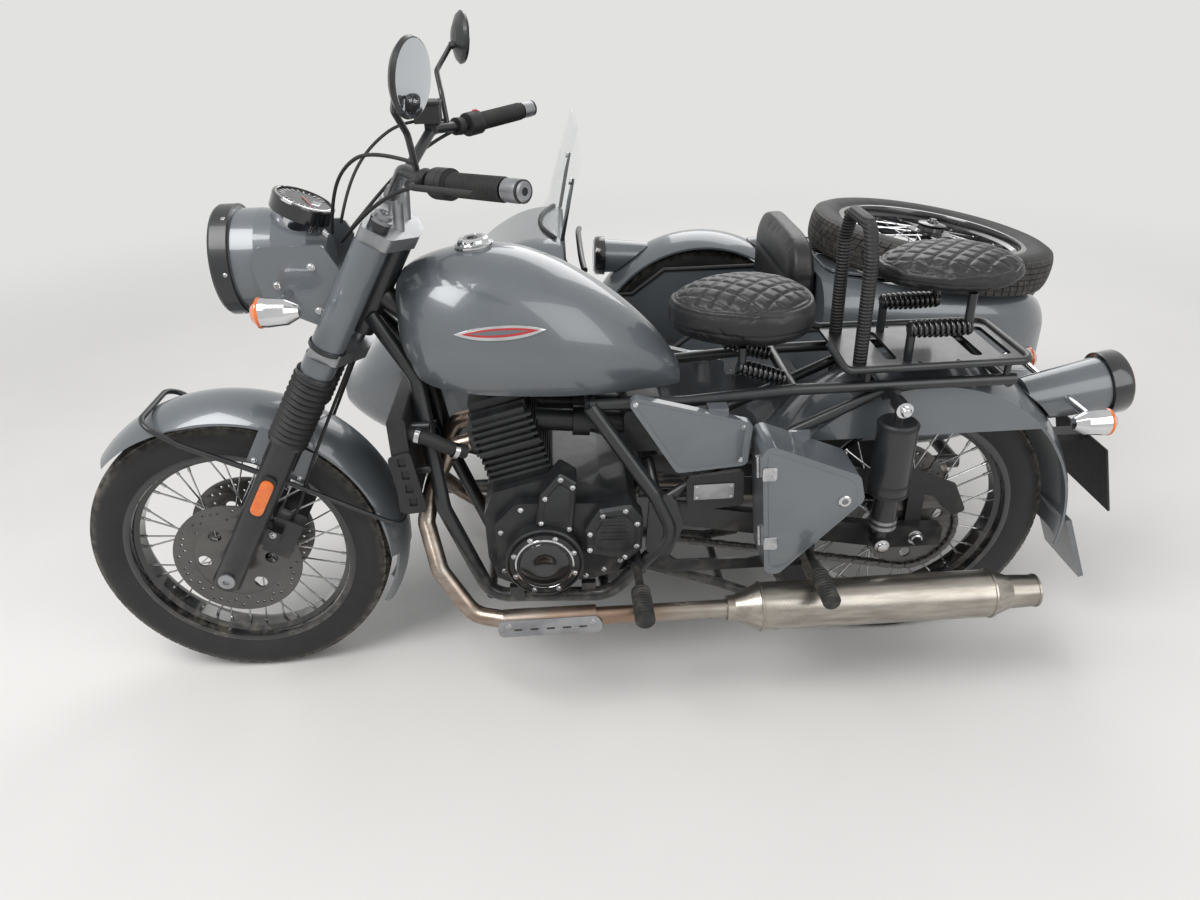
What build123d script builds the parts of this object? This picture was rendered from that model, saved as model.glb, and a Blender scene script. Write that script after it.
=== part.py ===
from build123d import *
from math import atan2, cos, hypot, pi, radians, sin, sqrt, tan
import os

# Sidecar motorcycle, in millimetres: X forward, Y to the left, Z up.
# The pieces are placed from the ground point below the rear axle, and moved together at the end.

# Wheels: four alike, with a 19 inch wire rim
TYRE_R = 330.0
TYRE_HALF = 52.0
TREAD_HALF = 44.0
TREAD_DROP = 12.0
SIDEWALL_R = 290.0
RIM_R = 255.0
RIM_HALF = 42.0
RIM_LIP = 4.0
BEAD_R = 243.0
RIM_WALL = 4.0
WELL_DEPTH = 11.0
WELL_HALF = 17.0
TYRE_FIT = 0.3
HUB_R = 34.0
HUB_FLANGE_R = 58.0
HUB_FLANGE_HALF = 30.0
HUB_FLANGE_T = 7.0
HUB_HALF = 50.0
SPOKE_COUNT = 36
SPOKE_T = 3.4
SPOKE_LEAN = 46.0
SPOKE_RIM_HALF = 7.0
SPOKE_SINK = 2.0
DISC_R = 140.0
DISC_INNER_R = 96.0
DISC_T = 5.0
DISC_Y = 62.0
DISC_ARM = 16.0
AXLE_R = 9.0
AXLE_FIT = 0.05

# Wheel places
WHEELBASE = 1517.0
SIDECAR_TRACK = 1110.0
SIDECAR_LEAD = 309.0
SPARE = (-271.0, 764.0)

# Steering head and fork
RAKE = 30.2
YOKE_OFFSET = 40.0
FORK_HALF = 111.0
LEG_R = 31.0
LEG_BOTTOM = -30.0
LEG_TOP = 366.0
STANCHION_R = 20.0
STANCHION_TOP = 872.0
GAITER_R = 41.0
GAITER_ROOT_R = 35.0
GAITER_TOP = 528.0
GAITER_RIBS = 12
COVER_R = 33.0
LOWER_YOKE = 585.0
UPPER_YOKE = 838.0
YOKE_T = 26.0
HEAD_TUBE_R = 27.0

# Handlebar, each side from the clamp to the tip: forward, sideways, up
BAR_R = 11.0
BAR_POINTS = ((1060, 0, 1112), (1062, 70, 1116), (1012, 215, 1188), (955, 290, 1180), (832, 412, 1190))
GRIP_R = 17.5
GRIP_LENGTH = 122.0
BAR_END_R = 17.0
BAR_END_LENGTH = 34.0

# Headlamp
LAMP_X = 1402.0
LAMP_Z = 992.0
LAMP_R = 96.0

# Mudguards: crown and edge radii, half width, and the front one's own centre
GUARD_R = 355.0
GUARD_EDGE_R = 315.0
GUARD_CUT_R = 339.0
GUARD_HALF = 79.6
FENDER_X = 1493.0
FENDER_Z = 357.0
GUARD_HOOP_X = 1632.0
GUARD_LOOP_Z = 412.0
REAR_GUARD_R = 384.0
SIDE_GUARD_R = 382.0

# Frame, swingarm and stand
TUBE_R = 16.0
RAIL_HALF = 120.0
CRADLE_Z = 234.0
PIVOT = (577.0, 430.0)
SUBFRAME_HALF = 112.0
ROD_SEAT_Z = 704.0
ARM_Y = 112.0
ARM_HALF = 12.0
STAND_HINGE = (620.0, 262.0)
STAND_HALF = 84.0

# Engine: lean and foot of the cylinders
ENGINE_LEAN = 14.0
ENGINE_BASE = (865.0, 520.0)

# Tank
BACKBONE_R = 24.0
TANK_SECTIONS = (
    # x, half width, lowest, widest, highest
    (1088.0, 54.0, 800.0, 868.0, 935.0),
    (1056.0, 103.0, 758.0, 862.0, 970.0),
    (1000.0, 140.0, 742.0, 856.0, 990.0),
    (900.0, 154.0, 730.0, 848.0, 1000.0),
    (780.0, 148.0, 720.0, 828.0, 968.0),
    (670.0, 118.0, 710.0, 798.0, 900.0),
    (580.0, 72.0, 700.0, 756.0, 818.0),
    (522.0, 28.0, 692.0, 708.0, 732.0),
)

# Seats, lowest and highest
DRIVER_SEAT_Z = (786.0, 908.0)
PILLION_SEAT_Z = (884.0, 950.0)

# Toolbox outline (x, z) and its depth to the left
TOOLBOX = ((388, 652), (366, 338), (336, 336), (170, 508), (184, 566))
TOOLBOX_BEND = 20.0
TOOLBOX_INNER_Y = 128.0
TOOLBOX_SPLIT_Y = 205.0
TOOLBOX_OUTER_Y = 238.0

# Chain and its sprockets
CHAIN_Y = 84.0
CHAIN_H = 14.0
CHAIN_W = 16.0
CHAIN_PLAY = 0.6
SPROCKET_R = 98.0
DRIVE_X = 690.0
DRIVE_Z = 415.0
DRIVE_R = 40.0

# Sidecar tub and its chassis
TUB_Y = -655.0
TUB_WALL = 4.0
TUB_FLOOR = 236.0
TUB_REAR = (
    # x, half width, lowest, highest above the deck line, corner radius
    (-540.0, 180.0, 380.0, -20.0, 70.0),
    (-470.0, 232.0, 315.0, 4.0, 70.0),
    (-200.0, 268.0, 252.0, 4.0, 74.0),
    (100.0, 285.0, TUB_FLOOR, 4.0, 80.0),
)
TUB_FRONT = (
    # x, half width, lowest, highest, corner radius
    (100.0, 285.0, TUB_FLOOR, 762.0, 80.0),
    (300.0, 286.0, TUB_FLOOR, 778.0, 84.0),
    (500.0, 285.0, TUB_FLOOR, 800.0, 90.0),
    (660.0, 281.0, TUB_FLOOR, 842.0, 100.0),
    (800.0, 270.0, TUB_FLOOR, 876.0, 110.0),
    (1000.0, 235.0, 250.0, 786.0, 110.0),
    (1200.0, 175.0, 290.0, 640.0, 100.0),
    (1340.0, 100.0, 345.0, 510.0, 70.0),
    (1390.0, 50.0, 385.0, 465.0, 36.0),
)
BACKREST_X = (92.0, 176.0)
SIDE_FRAME_LEFT = -392.0
SIDE_FRAME_RIGHT = -925.0
POST_Y = -966.0

# Boot lid with its hinge at the tail
DECK_TILT = 9.0
LID_X = (-452.0, 62.0)
LID_HALF = 170.0
LID_HINGE = (-549.0, 646.0)
LID_STRAP_Y = 60.0
LID_PIN_R = 5.0

# Windscreen
SCREEN_R = 428.0
SCREEN_T = 4.0
SCREEN_HALF = 192.0
SCREEN_LEAN = 18.4
SCREEN_FOOT = (806.0, 893.0)

# Gap between pieces that rest on each other
SEAT = 0.3


def block(x0, x1, y0, y1, z0, z1):
    """Box between two corners."""
    return Pos((x0 + x1) / 2, (y0 + y1) / 2, (z0 + z1) / 2) * Box(x1 - x0, y1 - y0, z1 - z0)


def rod(a, b, radius, inner=0.0):
    """Round bar or pipe between two points."""
    a, b = Vector(*a), Vector(*b)
    run = b - a
    low = (Align.CENTER, Align.CENTER, Align.MIN)
    bar = Cylinder(radius, run.length, align=low)
    if inner:
        bar -= Cylinder(inner, run.length, align=low)
    return Plane(origin=a, z_dir=run) * bar


def pipe(points, radius, bend):
    """Bent round bar through points, with one bend radius or a list of them."""
    path = FilletPolyline(*points, radius=bend)
    return sweep(Plane(origin=path @ 0, z_dir=path % 0) * Circle(radius), path=path)


def plate(outline, y0, y1, bend=0.0):
    """Side-view outline of (x, z) points as a plate from y0 to y1."""
    points = [(x, y0, z) for x, z in outline]
    wire = FilletPolyline(*points, radius=bend, close=True) if bend else Polyline(*points, close=True)
    return extrude(make_face(wire), amount=y1 - y0, dir=(0, 1, 0))


def flat(outline, z0, z1, bend=0.0):
    """Plan outline of (x, y) points as a slab from z0 to z1."""
    points = [(x, y, z0) for x, y in outline]
    wire = FilletPolyline(*points, radius=bend, close=True) if bend else Polyline(*points, close=True)
    return extrude(make_face(wire), amount=z1 - z0, dir=(0, 0, 1))


def turned(profile, arc=360.0):
    """Profile of (y, r) points turned about the Y axis."""
    wire = Polyline(*[(0, y, r) for y, r in profile], close=True)
    return revolve(make_face(wire), axis=Axis.Y, revolution_arc=arc)


def spun(profile, start, run):
    """Profile of (distance, radius) points turned about the line from start along run."""
    wire = Polyline(*[(r, 0, s) for s, r in profile], close=True)
    return Plane(origin=start, z_dir=run) * revolve(make_face(wire), axis=Axis.Z)


def both(shape):
    """A piece and its mirror image across the bike's middle plane."""
    return [shape, mirror(shape, about=Plane.XZ)]


def fused(shapes):
    """One solid from pieces that meet."""
    first, *rest = shapes
    return first.fuse(*rest) if rest else first


def fork(s, y=0.0, forward=0.0):
    """Point at a distance up the fork from the front axle."""
    tilt = radians(RAKE)
    x = WHEELBASE - s * sin(tilt) + forward * cos(tilt)
    return (x, y, TYRE_R + s * cos(tilt) + forward * sin(tilt))


def tyre():
    """Tyre about the Y axis."""
    bead = RIM_HALF - RIM_LIP - TYRE_FIT
    seat = BEAD_R + TYRE_FIT
    lip = RIM_R + 2.0
    crown = ThreePointArc((0, TREAD_HALF, TYRE_R - TREAD_DROP), (0, 0, TYRE_R), (0, -TREAD_HALF, TYRE_R - TREAD_DROP))
    left = ThreePointArc((0, bead, lip), (0, TYRE_HALF, SIDEWALL_R), (0, TREAD_HALF, TYRE_R - TREAD_DROP))
    right = ThreePointArc((0, -TREAD_HALF, TYRE_R - TREAD_DROP), (0, -TYRE_HALF, SIDEWALL_R), (0, -bead, lip))
    inside = Polyline((0, -bead, lip), (0, -bead, seat), (0, bead, seat), (0, bead, lip))
    return revolve(make_face([crown, left, right, inside]), axis=Axis.Y)


def rim():
    """Wire wheel rim about the Y axis."""
    well = BEAD_R - WELL_DEPTH
    outer = [(RIM_HALF, RIM_R), (RIM_HALF - RIM_LIP, RIM_R), (RIM_HALF - RIM_LIP, BEAD_R),
             (WELL_HALF + 6, BEAD_R), (WELL_HALF, well)]
    inner = [(WELL_HALF - 1, well - RIM_WALL), (WELL_HALF + 5, BEAD_R - RIM_WALL), (RIM_HALF, BEAD_R - RIM_WALL)]
    other = [(-y, r) for y, r in reversed(outer)] + [(-y, r) for y, r in reversed(inner)]
    return turned(outer + other + inner)


def spoke(index):
    """One spoke from its hub flange into the rim."""
    step = 360.0 / SPOKE_COUNT
    side = 1 if index % 2 else -1
    lean = SPOKE_LEAN if index % 4 < 2 else -SPOKE_LEAN
    outer = radians(index * step)
    inner = radians(index * step + lean)
    reach = BEAD_R - WELL_DEPTH - RIM_WALL + SPOKE_SINK
    a = Vector(HUB_FLANGE_R * 0.86 * cos(inner), side * HUB_FLANGE_HALF, HUB_FLANGE_R * 0.86 * sin(inner))
    b = Vector(reach * cos(outer), side * SPOKE_RIM_HALF, reach * sin(outer))
    run = b - a
    low = (Align.CENTER, Align.CENTER, Align.MIN)
    return Plane(origin=a, z_dir=run) * Box(SPOKE_T, SPOKE_T, run.length, align=low)


def spoked_hub():
    """Hub with its two flanges and the spokes, about the Y axis."""
    core = turned(((-HUB_HALF, AXLE_R + AXLE_FIT), (HUB_HALF, AXLE_R + AXLE_FIT), (HUB_HALF, HUB_R), (-HUB_HALF, HUB_R)))
    flanges = [Pos(0, side * HUB_FLANGE_HALF, 0) * Rot(90, 0, 0) * Cylinder(HUB_FLANGE_R, HUB_FLANGE_T) for side in (1, -1)]
    bore = Rot(90, 0, 0) * Cylinder(AXLE_R + AXLE_FIT, 4 * HUB_HALF)
    return fused([core] + flanges + [spoke(i) for i in range(SPOKE_COUNT)]) - bore


def brake_disc(y):
    """Brake disc with its carrier arms, fixed to the hub's end."""
    half = DISC_T / 2
    ring = turned(((y - half, DISC_INNER_R), (y + half, DISC_INNER_R), (y + half, DISC_R), (y - half, DISC_R)))
    arms = [Rot(0, turn, 0) * block(-DISC_INNER_R - 8, DISC_INNER_R + 8, y - half, y + half, -DISC_ARM / 2, DISC_ARM / 2)
            for turn in (0, 60, 120)]
    inner_y = HUB_HALF - 4 if y > 0 else 4 - HUB_HALF
    low, high = sorted((inner_y, y + (half if y > 0 else -half)))
    boss = turned(((low, AXLE_R + 4), (high, AXLE_R + 4), (high, HUB_R - 4), (low, HUB_R - 4)))
    bore = Rot(90, 0, 0) * Cylinder(AXLE_R + 4, 6 * HUB_HALF)
    return fused([ring] + arms + [boss]) - bore


def side_rail(side):
    """One side's cradle: down tube, lower rail, bend behind the engine and diagonal to the backbone."""
    y = side
    points = (fork(655, y * 20, -YOKE_OFFSET - 8), (1066, y * 58, 748), (1036, y * 118, 470), (955, y * RAIL_HALF, CRADLE_Z),
              (690, y * 140, CRADLE_Z), (548, y * 158, 400), (590, y * 156, 500), (716, y * 118, 692))
    return pipe(points, TUBE_R, (30, 60, 60, 80, 60, 40))


def main_frame():
    """Double cradle frame with head tube, backbone, pivot plates, seat rails and lugs."""
    head = rod(fork(612, 0, -YOKE_OFFSET), fork(810, 0, -YOKE_OFFSET), HEAD_TUBE_R)
    bore = rod(fork(600, 0, -YOKE_OFFSET), fork(820, 0, -YOKE_OFFSET), 14.0 + AXLE_FIT)
    backbone = pipe((fork(700, 0, -YOKE_OFFSET - 14), (1040, 0, 835), (640, 0, 765), (590, 0, 740)), BACKBONE_R, 60)
    pieces = [head, backbone, rod((716, 0, 785), (716, 0, 692), 20.0)]
    for side in (1, -1):
        pieces.append(side_rail(side))
        low, high = sorted((side * 151, side * 165))
        pieces.append(plate(((600, 500), (610, 360), (560, 340), (528, 420), (545, 490)), low, high, 14))
        pieces.append(rod((PIVOT[0], side * (ARM_Y + ARM_HALF + SEAT), PIVOT[1]), (PIVOT[0], side * 165, PIVOT[1]), 20.0))
        pieces.append(pipe(((716, side * SUBFRAME_HALF, 692), (520, side * SUBFRAME_HALF, 690), (300, side * SUBFRAME_HALF, ROD_SEAT_Z),
                            (-160, side * SUBFRAME_HALF, ROD_SEAT_Z)), 12.0, 50))
        pieces.append(pipe(((575, side * 140, 470), (430, side * 110, 545), (110, side * 106, 690)), 12.0, 60))
        low, high = sorted((side * 106, side * 118))
        pieces.append(plate(((78, 706), (78, 674), (114, 674), (114, 706)), low, high))
        pieces.append(rod((96, side * 112, 684), (96, side * (150 - SEAT), 684), 8.0))
        low, high = sorted((side * 150, side * 158))
        pieces.append(plate(((610, 330), (560, 296), (240, 296), (236, 366), (276, 366), (290, 322), (540, 326), (600, 372)), low, high, 6))
        pieces.append(rod((630, side * 140, 330), (630, side * 176, 330), 14.0))
        low, high = sorted((side * STAND_HALF, side * (STAND_HALF + 8)))
        x, z = STAND_HINGE
        pieces.append(plate(((712, 226), (712, 246), (x + 10, z + 18), (x - 16, z + 14), (x - 18, z - 12), (x + 6, z - 20)), low, high, 6))
        for x in (895, 735):
            low, high = sorted((side * 126, side * 142))
            pieces.append(block(x - 16, x + 16, low, high, CRADLE_Z, 268 - SEAT))
        for z in (560, 660):
            pieces.append(rod((1045, side * 104, z), (1085 - SEAT, side * 104, z), 9.0))
    for x, z, half in ((955, CRADLE_Z, RAIL_HALF), (700, CRADLE_Z, 139), (716, 692, 118), (300, ROD_SEAT_Z + 2, SUBFRAME_HALF),
                       (130, 703, SUBFRAME_HALF), (-150, 696, SUBFRAME_HALF)):
        pieces.append(rod((x, -half, z), (x, half, z), 11.0))
    return fused(pieces) - bore


def engine_cases():
    """Crankcase and gearbox with its side covers, one heavy block."""
    lean = radians(ENGINE_LEAN)
    x, z = ENGINE_BASE
    top = [(x + 66 * cos(lean), z - 66 * sin(lean) - SEAT), (x - 66 * cos(lean), z + 66 * sin(lean) - SEAT)]
    outline = [(935, 282), (952, 340), (952, 450)] + top + [(700, 505), (640, 480), (620, 440), (620, 360), (650, 290), (720, 268), (900, 268)]
    core = plate(outline, -124, 124, 10)
    flank = plate(((930, 300), (930, 440), (880, 490), (700, 480), (640, 440), (640, 360), (670, 300), (740, 285), (900, 285)), -150, 150, 20)
    covers = [rod((828, 150, 356), (828, 176, 356), 84.0), rod((828, 176, 356), (828, 186, 356), 74.0), rod((828, -186, 356), (828, -150, 356), 82.0),
              rod((700, -150, 400), (700, -180, 400), 54.0)]
    drive_cover = plate(((640, 486), (614, 448), (618, 374), (648, 344), (742, 370), (740, 424), (707, 478)), 124, 176, 12)
    drive_cover = chamfer(drive_cover.edges().group_by(Axis.Y)[-1], 6)
    tower = plate(((784, 566), (750, 540), (764, 416), (800, 424), (842, 442), (828, 514)), 100, 166, 8)
    tower = chamfer(tower.edges().group_by(Axis.Y)[-1], 4)
    return fused([core, flank, drive_cover, tower] + covers)


def leaned(u, y, v):
    """Point on the leaning cylinders: forward, sideways and up from their base."""
    lean = radians(ENGINE_LEAN)
    return (ENGINE_BASE[0] + u * cos(lean) + v * sin(lean), y, ENGINE_BASE[1] - u * sin(lean) + v * cos(lean))


def cylinder_block():
    """Forward-leaning twin cylinders and head with cooling ribs and exhaust ports."""
    lean = radians(ENGINE_LEAN)
    base = Plane(origin=leaned(0, 0, 0), x_dir=(cos(lean), 0, -sin(lean)), z_dir=(sin(lean), 0, cos(lean)))
    low = (Align.CENTER, Align.CENTER, Align.MIN)
    body = Box(118, 196, 178, align=low)
    ribs = [Pos(0, 0, 16 + 15 * i) * Box(136, 212 + (36 if i > 4 else 0), 6, align=low) for i in range(10)]
    head = Pos(0, 0, 92) * Box(112, 232, 78, align=low)
    cover = Pos(0, 0, 170) * Box(112, 180, 26, align=low)
    ports = [Pos(0, side * 60, 100) * Rot(0, 90, 0) * Cylinder(25, 82, align=low) for side in (1, -1)]
    return base * fused([body, head] + ribs + [cover] + ports)


def radiator():
    """Radiator in its shroud, in front of the down tubes."""
    core = block(1085, 1122, -150, 150, 482, 700)
    core = fillet(core.edges().filter_by(Axis.Y), 8)
    return core - block(1114, 1130, -128, 128, 510, 672)


def tank_section(x, half, low, wide, high):
    """One cross section of the tank: flat below, with two curved flanks."""
    foot = half * 0.82
    shoulder = half * 0.70
    brow = wide + (high - wide) * 0.70
    lines = [Line((x, -foot, low), (x, foot, low)),
             ThreePointArc((x, foot, low), (x, half, wide), (x, shoulder, brow)),
             ThreePointArc((x, shoulder, brow), (x, 0, high), (x, -shoulder, brow)),
             ThreePointArc((x, -shoulder, brow), (x, -half, wide), (x, -foot, low))]
    return make_face(lines)


def fuel_tank():
    """Teardrop tank over the backbone."""
    body = loft([tank_section(*row) for row in TANK_SECTIONS])
    half = BACKBONE_R + SEAT
    tunnel = plate(((1140, 965), (1040, 876), (640, 798), (560, 786), (500, 600), (1140, 600)), -half, half)
    throat = plate(((1020, 690), (1020, 745), (1075, 800), (1110, 860), (1110, 690)), -84, 84)
    neck = rod(fork(600, 0, -YOKE_OFFSET), fork(840, 0, -YOKE_OFFSET), HEAD_TUBE_R + 4)
    return body - tunnel - throat - neck


def tank_cap(tank):
    """Filler cap on the tank's top."""
    cap = spun(((-12, 0), (-12, 38), (6, 38), (10, 30), (16, 28), (18, 20), (18, 0)), (929, 0, 998), (0.08, 0, 1))
    return cap - tank


def side_covers():
    """Grey side panel behind the engine, each side."""
    outline = ((655, 738), (392, 662), (400, 566), (545, 555))
    cover = plate(outline, 150, 170, 14)
    tab = block(440, 480, SUBFRAME_HALF + 12 + SEAT, 155, 672, 690)
    return both(fused([cover, tab]))


def shallow_box(y0, y1, open_side):
    """Half of the toolbox: a wall of the outline with a floor on one side."""
    wall = 2.5
    wire = FilletPolyline(*[(x, y0, z) for x, z in TOOLBOX], radius=TOOLBOX_BEND, close=True)
    outer = make_face(wire)
    inner = offset(outer, amount=-wall)
    box = extrude(outer, amount=y1 - y0, dir=(0, 1, 0))
    core = extrude(inner, amount=y1 - y0, dir=(0, 1, 0))
    return box - Pos(0, wall if open_side > 0 else -wall, 0) * core


def toolbox_body():
    """Toolbox body, open to the outside."""
    bracket = block(262, 306, 109 + 12 + SEAT, TOOLBOX_INNER_Y + 1, 596, 616)
    return fused([shallow_box(TOOLBOX_INNER_Y, TOOLBOX_SPLIT_Y, 1), bracket])


def toolbox_door():
    """Toolbox door with its lock, hinged at the front edge."""
    lock = rod((213, TOOLBOX_OUTER_Y - 1, 511), (213, TOOLBOX_OUTER_Y + 6, 511), 11.0)
    return fused([shallow_box(TOOLBOX_SPLIT_Y + SEAT, TOOLBOX_OUTER_Y, -1), lock])


def intake():
    """Throttle bodies behind the cylinders, and the air box that they draw from."""
    rear = [leaned(-59 - SEAT, side * 45, 104) for side in (1, -1)]
    box_shape = fillet(block(556, 646, -88, 88, 566, 662).edges().filter_by(Axis.Y), 14)
    bodies = [rod((640, y, 616), (x, y, z), 24.0) for x, y, z in rear]
    collars = [rod((716, y, 624), (752, y, 627), 32.0) for x, y, z in rear]
    solid = fused([box_shape] + bodies + collars)
    return solid - cylinder_block()


def battery_panel():
    """Black panel with the blank data plate, below the left side cover."""
    panel = plate(((402, 466), (520, 455), (524, 538), (404, 550)), 154, 164, 8)
    data_plate = block(424, 508, 163, 165.5, 486, 522)
    tab = block(470, 500, 130, 155, 500, 524)
    shape = fused([panel, data_plate, tab])
    return shape - pipe(((575, 140, 470), (430, 110, 545), (110, 106, 690)), 12.0 + SEAT, 60)


def exhaust_pipes():
    """Header pipe each side, from the head down and back to the silencer, with its heat shield."""
    start = 82 + SEAT
    points = (leaned(start, 60, 100), leaned(start + 44, 60, 100), (1060, 62, 500), (1080, 105, 430), (1052, 176, 350), (985, 222, 262),
              (900, 250, 262), (436 + SEAT, 250, 262))
    shield = rod((724, 250, 262), (920, 250, 262), 25.0)
    return both(fused([pipe(points, 19.0, (26, 50, 40, 50, 60, 90)), shield]))


def silencers():
    """Silencer each side, with its cones and tail."""
    body = spun(((0, 0), (0, 24), (60, 51), (560, 51), (600, 36), (660, 34), (660, 26), (610, 26), (600, 0)),
                (436, 250, 262), (-1, 0, 0))
    hanger = block(225, 265, 158 + SEAT, 222, 300, 308)
    return both(fused([body, hanger]))


def foot_pegs():
    """Rider and pillion foot pegs."""
    pegs = []
    for side in (1, -1):
        front = fused([rod((630, side * (176 + SEAT), 330), (630, side * 262, 330), 9.0),
                       rod((630, side * 262, 330), (630, side * 362, 334), 19.0)])
        rear = fused([rod((258, side * 262, 350), (258, side * 362, 352), 17.0),
                      rod((258, side * (158 + SEAT), 350), (258, side * 262, 350), 8.0)])
        pegs += [front, rear]
    return pegs


def swingarm():
    """Rear swingarm: pivot tube, two arms, axle, shock absorber lugs and the rear brake caliper."""
    half = ARM_Y + ARM_HALF
    pieces = [rod((PIVOT[0], -half, PIVOT[1]), (PIVOT[0], half, PIVOT[1]), 15.0), rod((0, -half - 14, TYRE_R), (0, half + 20, TYRE_R), AXLE_R)]
    for side in (1, -1):
        low, high = sorted((side * (ARM_Y - ARM_HALF), side * half))
        arm = plate(((596, 446), (560, 452), (470, 436), (60, 362), (-60, 355), (-60, 305), (60, 305), (470, 384), (560, 406), (596, 414)),
                    low, high, 6)
        pieces.append(arm)
        pieces.append(rod((100, side * ARM_Y, 356), (100, side * (155 - SEAT), 356), 9.0))
    pieces.append(block(430, 466, -ARM_Y, ARM_Y, 392, 422))
    pieces.append(block(20, 100, -86, -44, 410, 490) - disc_room(0, -DISC_Y, TYRE_R))
    pieces.append(block(44, 76, -104, -78, 340, 430))
    return fused(pieces)


def shock_absorbers():
    """Rear shock absorber each side, with its shroud."""
    low, high = (100, 172, 356), (96, 172, 684)
    run = (Vector(*high) - Vector(*low)).normalized()
    body = fused([rod(low, high, 11.0), spun(((126, 0), (126, 38), (132, 41), (292, 41), (296, 36), (296, 0)), low, run),
                  rod((low[0], 155, low[2]), (low[0], 190, low[2]), 17.0), rod((high[0], 150, high[2]), (high[0], 192, high[2]), 15.0),
                  spun(((40, 0), (40, 26), (126, 26), (126, 0)), low, run)])
    return both(body)


def chain_loop(radius_rear, radius_front, half):
    """Racetrack around the two sprockets, as a slab."""
    rear = Pos(0, CHAIN_Y, TYRE_R) * Rot(90, 0, 0) * Cylinder(radius_rear, 2 * half)
    front = Pos(DRIVE_X, CHAIN_Y, DRIVE_Z) * Rot(90, 0, 0) * Cylinder(radius_front, 2 * half)
    gap = hypot(DRIVE_X, DRIVE_Z - TYRE_R)
    turn = atan2(DRIVE_Z - TYRE_R, DRIVE_X)
    lean = atan2(radius_rear - radius_front, gap)
    points = []
    for sign, cx, cz, r in ((1, 0, TYRE_R, radius_rear), (1, DRIVE_X, DRIVE_Z, radius_front),
                            (-1, DRIVE_X, DRIVE_Z, radius_front), (-1, 0, TYRE_R, radius_rear)):
        angle = turn + sign * (pi / 2 - lean)
        points.append((cx + r * cos(angle), cz + r * sin(angle)))
    return fused([rear, front, plate(points, CHAIN_Y - half, CHAIN_Y + half)])


def chain():
    """Drive chain, from the gearbox to the rear sprocket."""
    inner = SPROCKET_R + CHAIN_PLAY
    loop = chain_loop(inner + CHAIN_H, DRIVE_R + CHAIN_H, CHAIN_W / 2) - chain_loop(inner, DRIVE_R, CHAIN_W)
    return loop - block(615, DRIVE_X + 80, 0, 200, 200, 520)


def chain_guard():
    """Chain guard over the upper run, on the swingarm's inner face."""
    high = ARM_Y - ARM_HALF - SEAT
    outline = ((490, 500), (300, 492), (120, 500), (10, 492), (-84, 450), (-118, 378), (-90, 366), (-40, 420), (60, 440), (300, 446), (490, 462))
    guard = plate(outline, high - 3, high, 8)
    tabs = [block(x - 18, x + 18, high - 3, high, low, top) for x, low, top in ((446, 424, 470), (0, 340, 440))]
    return fused([guard] + tabs)


def arch(radius, edge_r, half, start, stop, sheet, cx, cy, cz=TYRE_R):
    """Mudguard sheet of curved section, turned about a centre from one angle to another."""
    outer = [Line((0, -half, edge_r), (0, -half, edge_r + 6)), ThreePointArc((0, -half, edge_r + 6), (0, 0, radius), (0, half, edge_r + 6)),
             Line((0, half, edge_r + 6), (0, half, edge_r)), Line((0, half, edge_r), (0, half - sheet, edge_r)),
             Line((0, half - sheet, edge_r), (0, half - sheet, edge_r + 5)),
             ThreePointArc((0, half - sheet, edge_r + 5), (0, 0, radius - sheet), (0, -half + sheet, edge_r + 5)),
             Line((0, -half + sheet, edge_r + 5), (0, -half + sheet, edge_r)), Line((0, -half + sheet, edge_r), (0, -half, edge_r))]
    shell = revolve(make_face(outer), axis=Axis.Y, revolution_arc=stop - start)
    return Pos(cx, cy, cz) * Rot(0, 90 - stop, 0) * shell


def screen_stays(screen):
    """Black stay behind each side of the windscreen, from the cowl."""
    stays = []
    for side in (1, -1):
        y = TUB_Y + side * 176
        stay = rod((762, y, 830), (720, y, 1021), 5.0) - tub_loft(TUB_FRONT, 0) - screen
        stays.append(sorted(stay.solids(), key=lambda s: s.volume)[-1])
    return stays


def step_plate():
    """Ribbed step on the tub's near side, on two brackets."""
    tread = block(178, 358, -384, -300, 556, 562)
    ribs = [block(x, x + 6, -384, -300, 561, 565) for x in range(188, 350, 18)]
    brackets = [block(x, x + 8, -384, -326, 516, 557) for x in (200, 328)]
    shape = fused([tread] + ribs + brackets) - tub_loft(TUB_FRONT, 0)
    return sorted(shape.solids(), key=lambda s: s.volume)[-1]


def rear_fender():
    """Deep rear mudguard with its side skirts and its flap."""
    guard = arch(REAR_GUARD_R, 350, 98, 30, 190, 2.5, 0, 0)
    flap = plate(((-372, 320), (-386, 320), (-452, 158), (-440, 154)), -80, 80)
    skirts = []
    for side in (1, -1):
        drum = Pos(0, side * 96.75, TYRE_R) * Rot(90, 0, 0) * Cylinder(352, 2.5)
        low, high = sorted((side * 90, side * 100))
        skirts.append(drum & block(-330, 330, low, high, 575, 700))
    return fused([guard, flap] + skirts)


def round_rear(radius):
    """Solid drum about the rear axle, as a cutter."""
    return Pos(0, 0, TYRE_R) * Rot(90, 0, 0) * Cylinder(radius, 600)


def rear_lamp_body(grow):
    """Turned body of the tail lamp."""
    run = (-0.985, 0, 0.17)
    profile = ((0, 0), (0, 50 + grow), (120, 58 + grow), (170, 62 + grow), (172, 69 + grow), (202, 69 + grow), (212, 60 + grow), (212, 0))
    return spun(profile, (-248, 0, 598), run)


def rear_lamp():
    """Cylindrical tail lamp on the rear mudguard."""
    return rear_lamp_body(0) - round_rear(REAR_GUARD_R + SEAT)


def rear_indicators():
    """Bullet indicator each side at the rear, on its stalk."""
    lamp = spun(((0, 0), (4, 12), (26, 24), (60, 27), (72, 27), (86, 18), (92, 0)), (-268, 168, 622), (-1, 0, 0))
    return both(fused([lamp, rod((-322, 50, 622), (-322, 160, 622), 8.0)]) - rear_lamp_body(SEAT))


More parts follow.
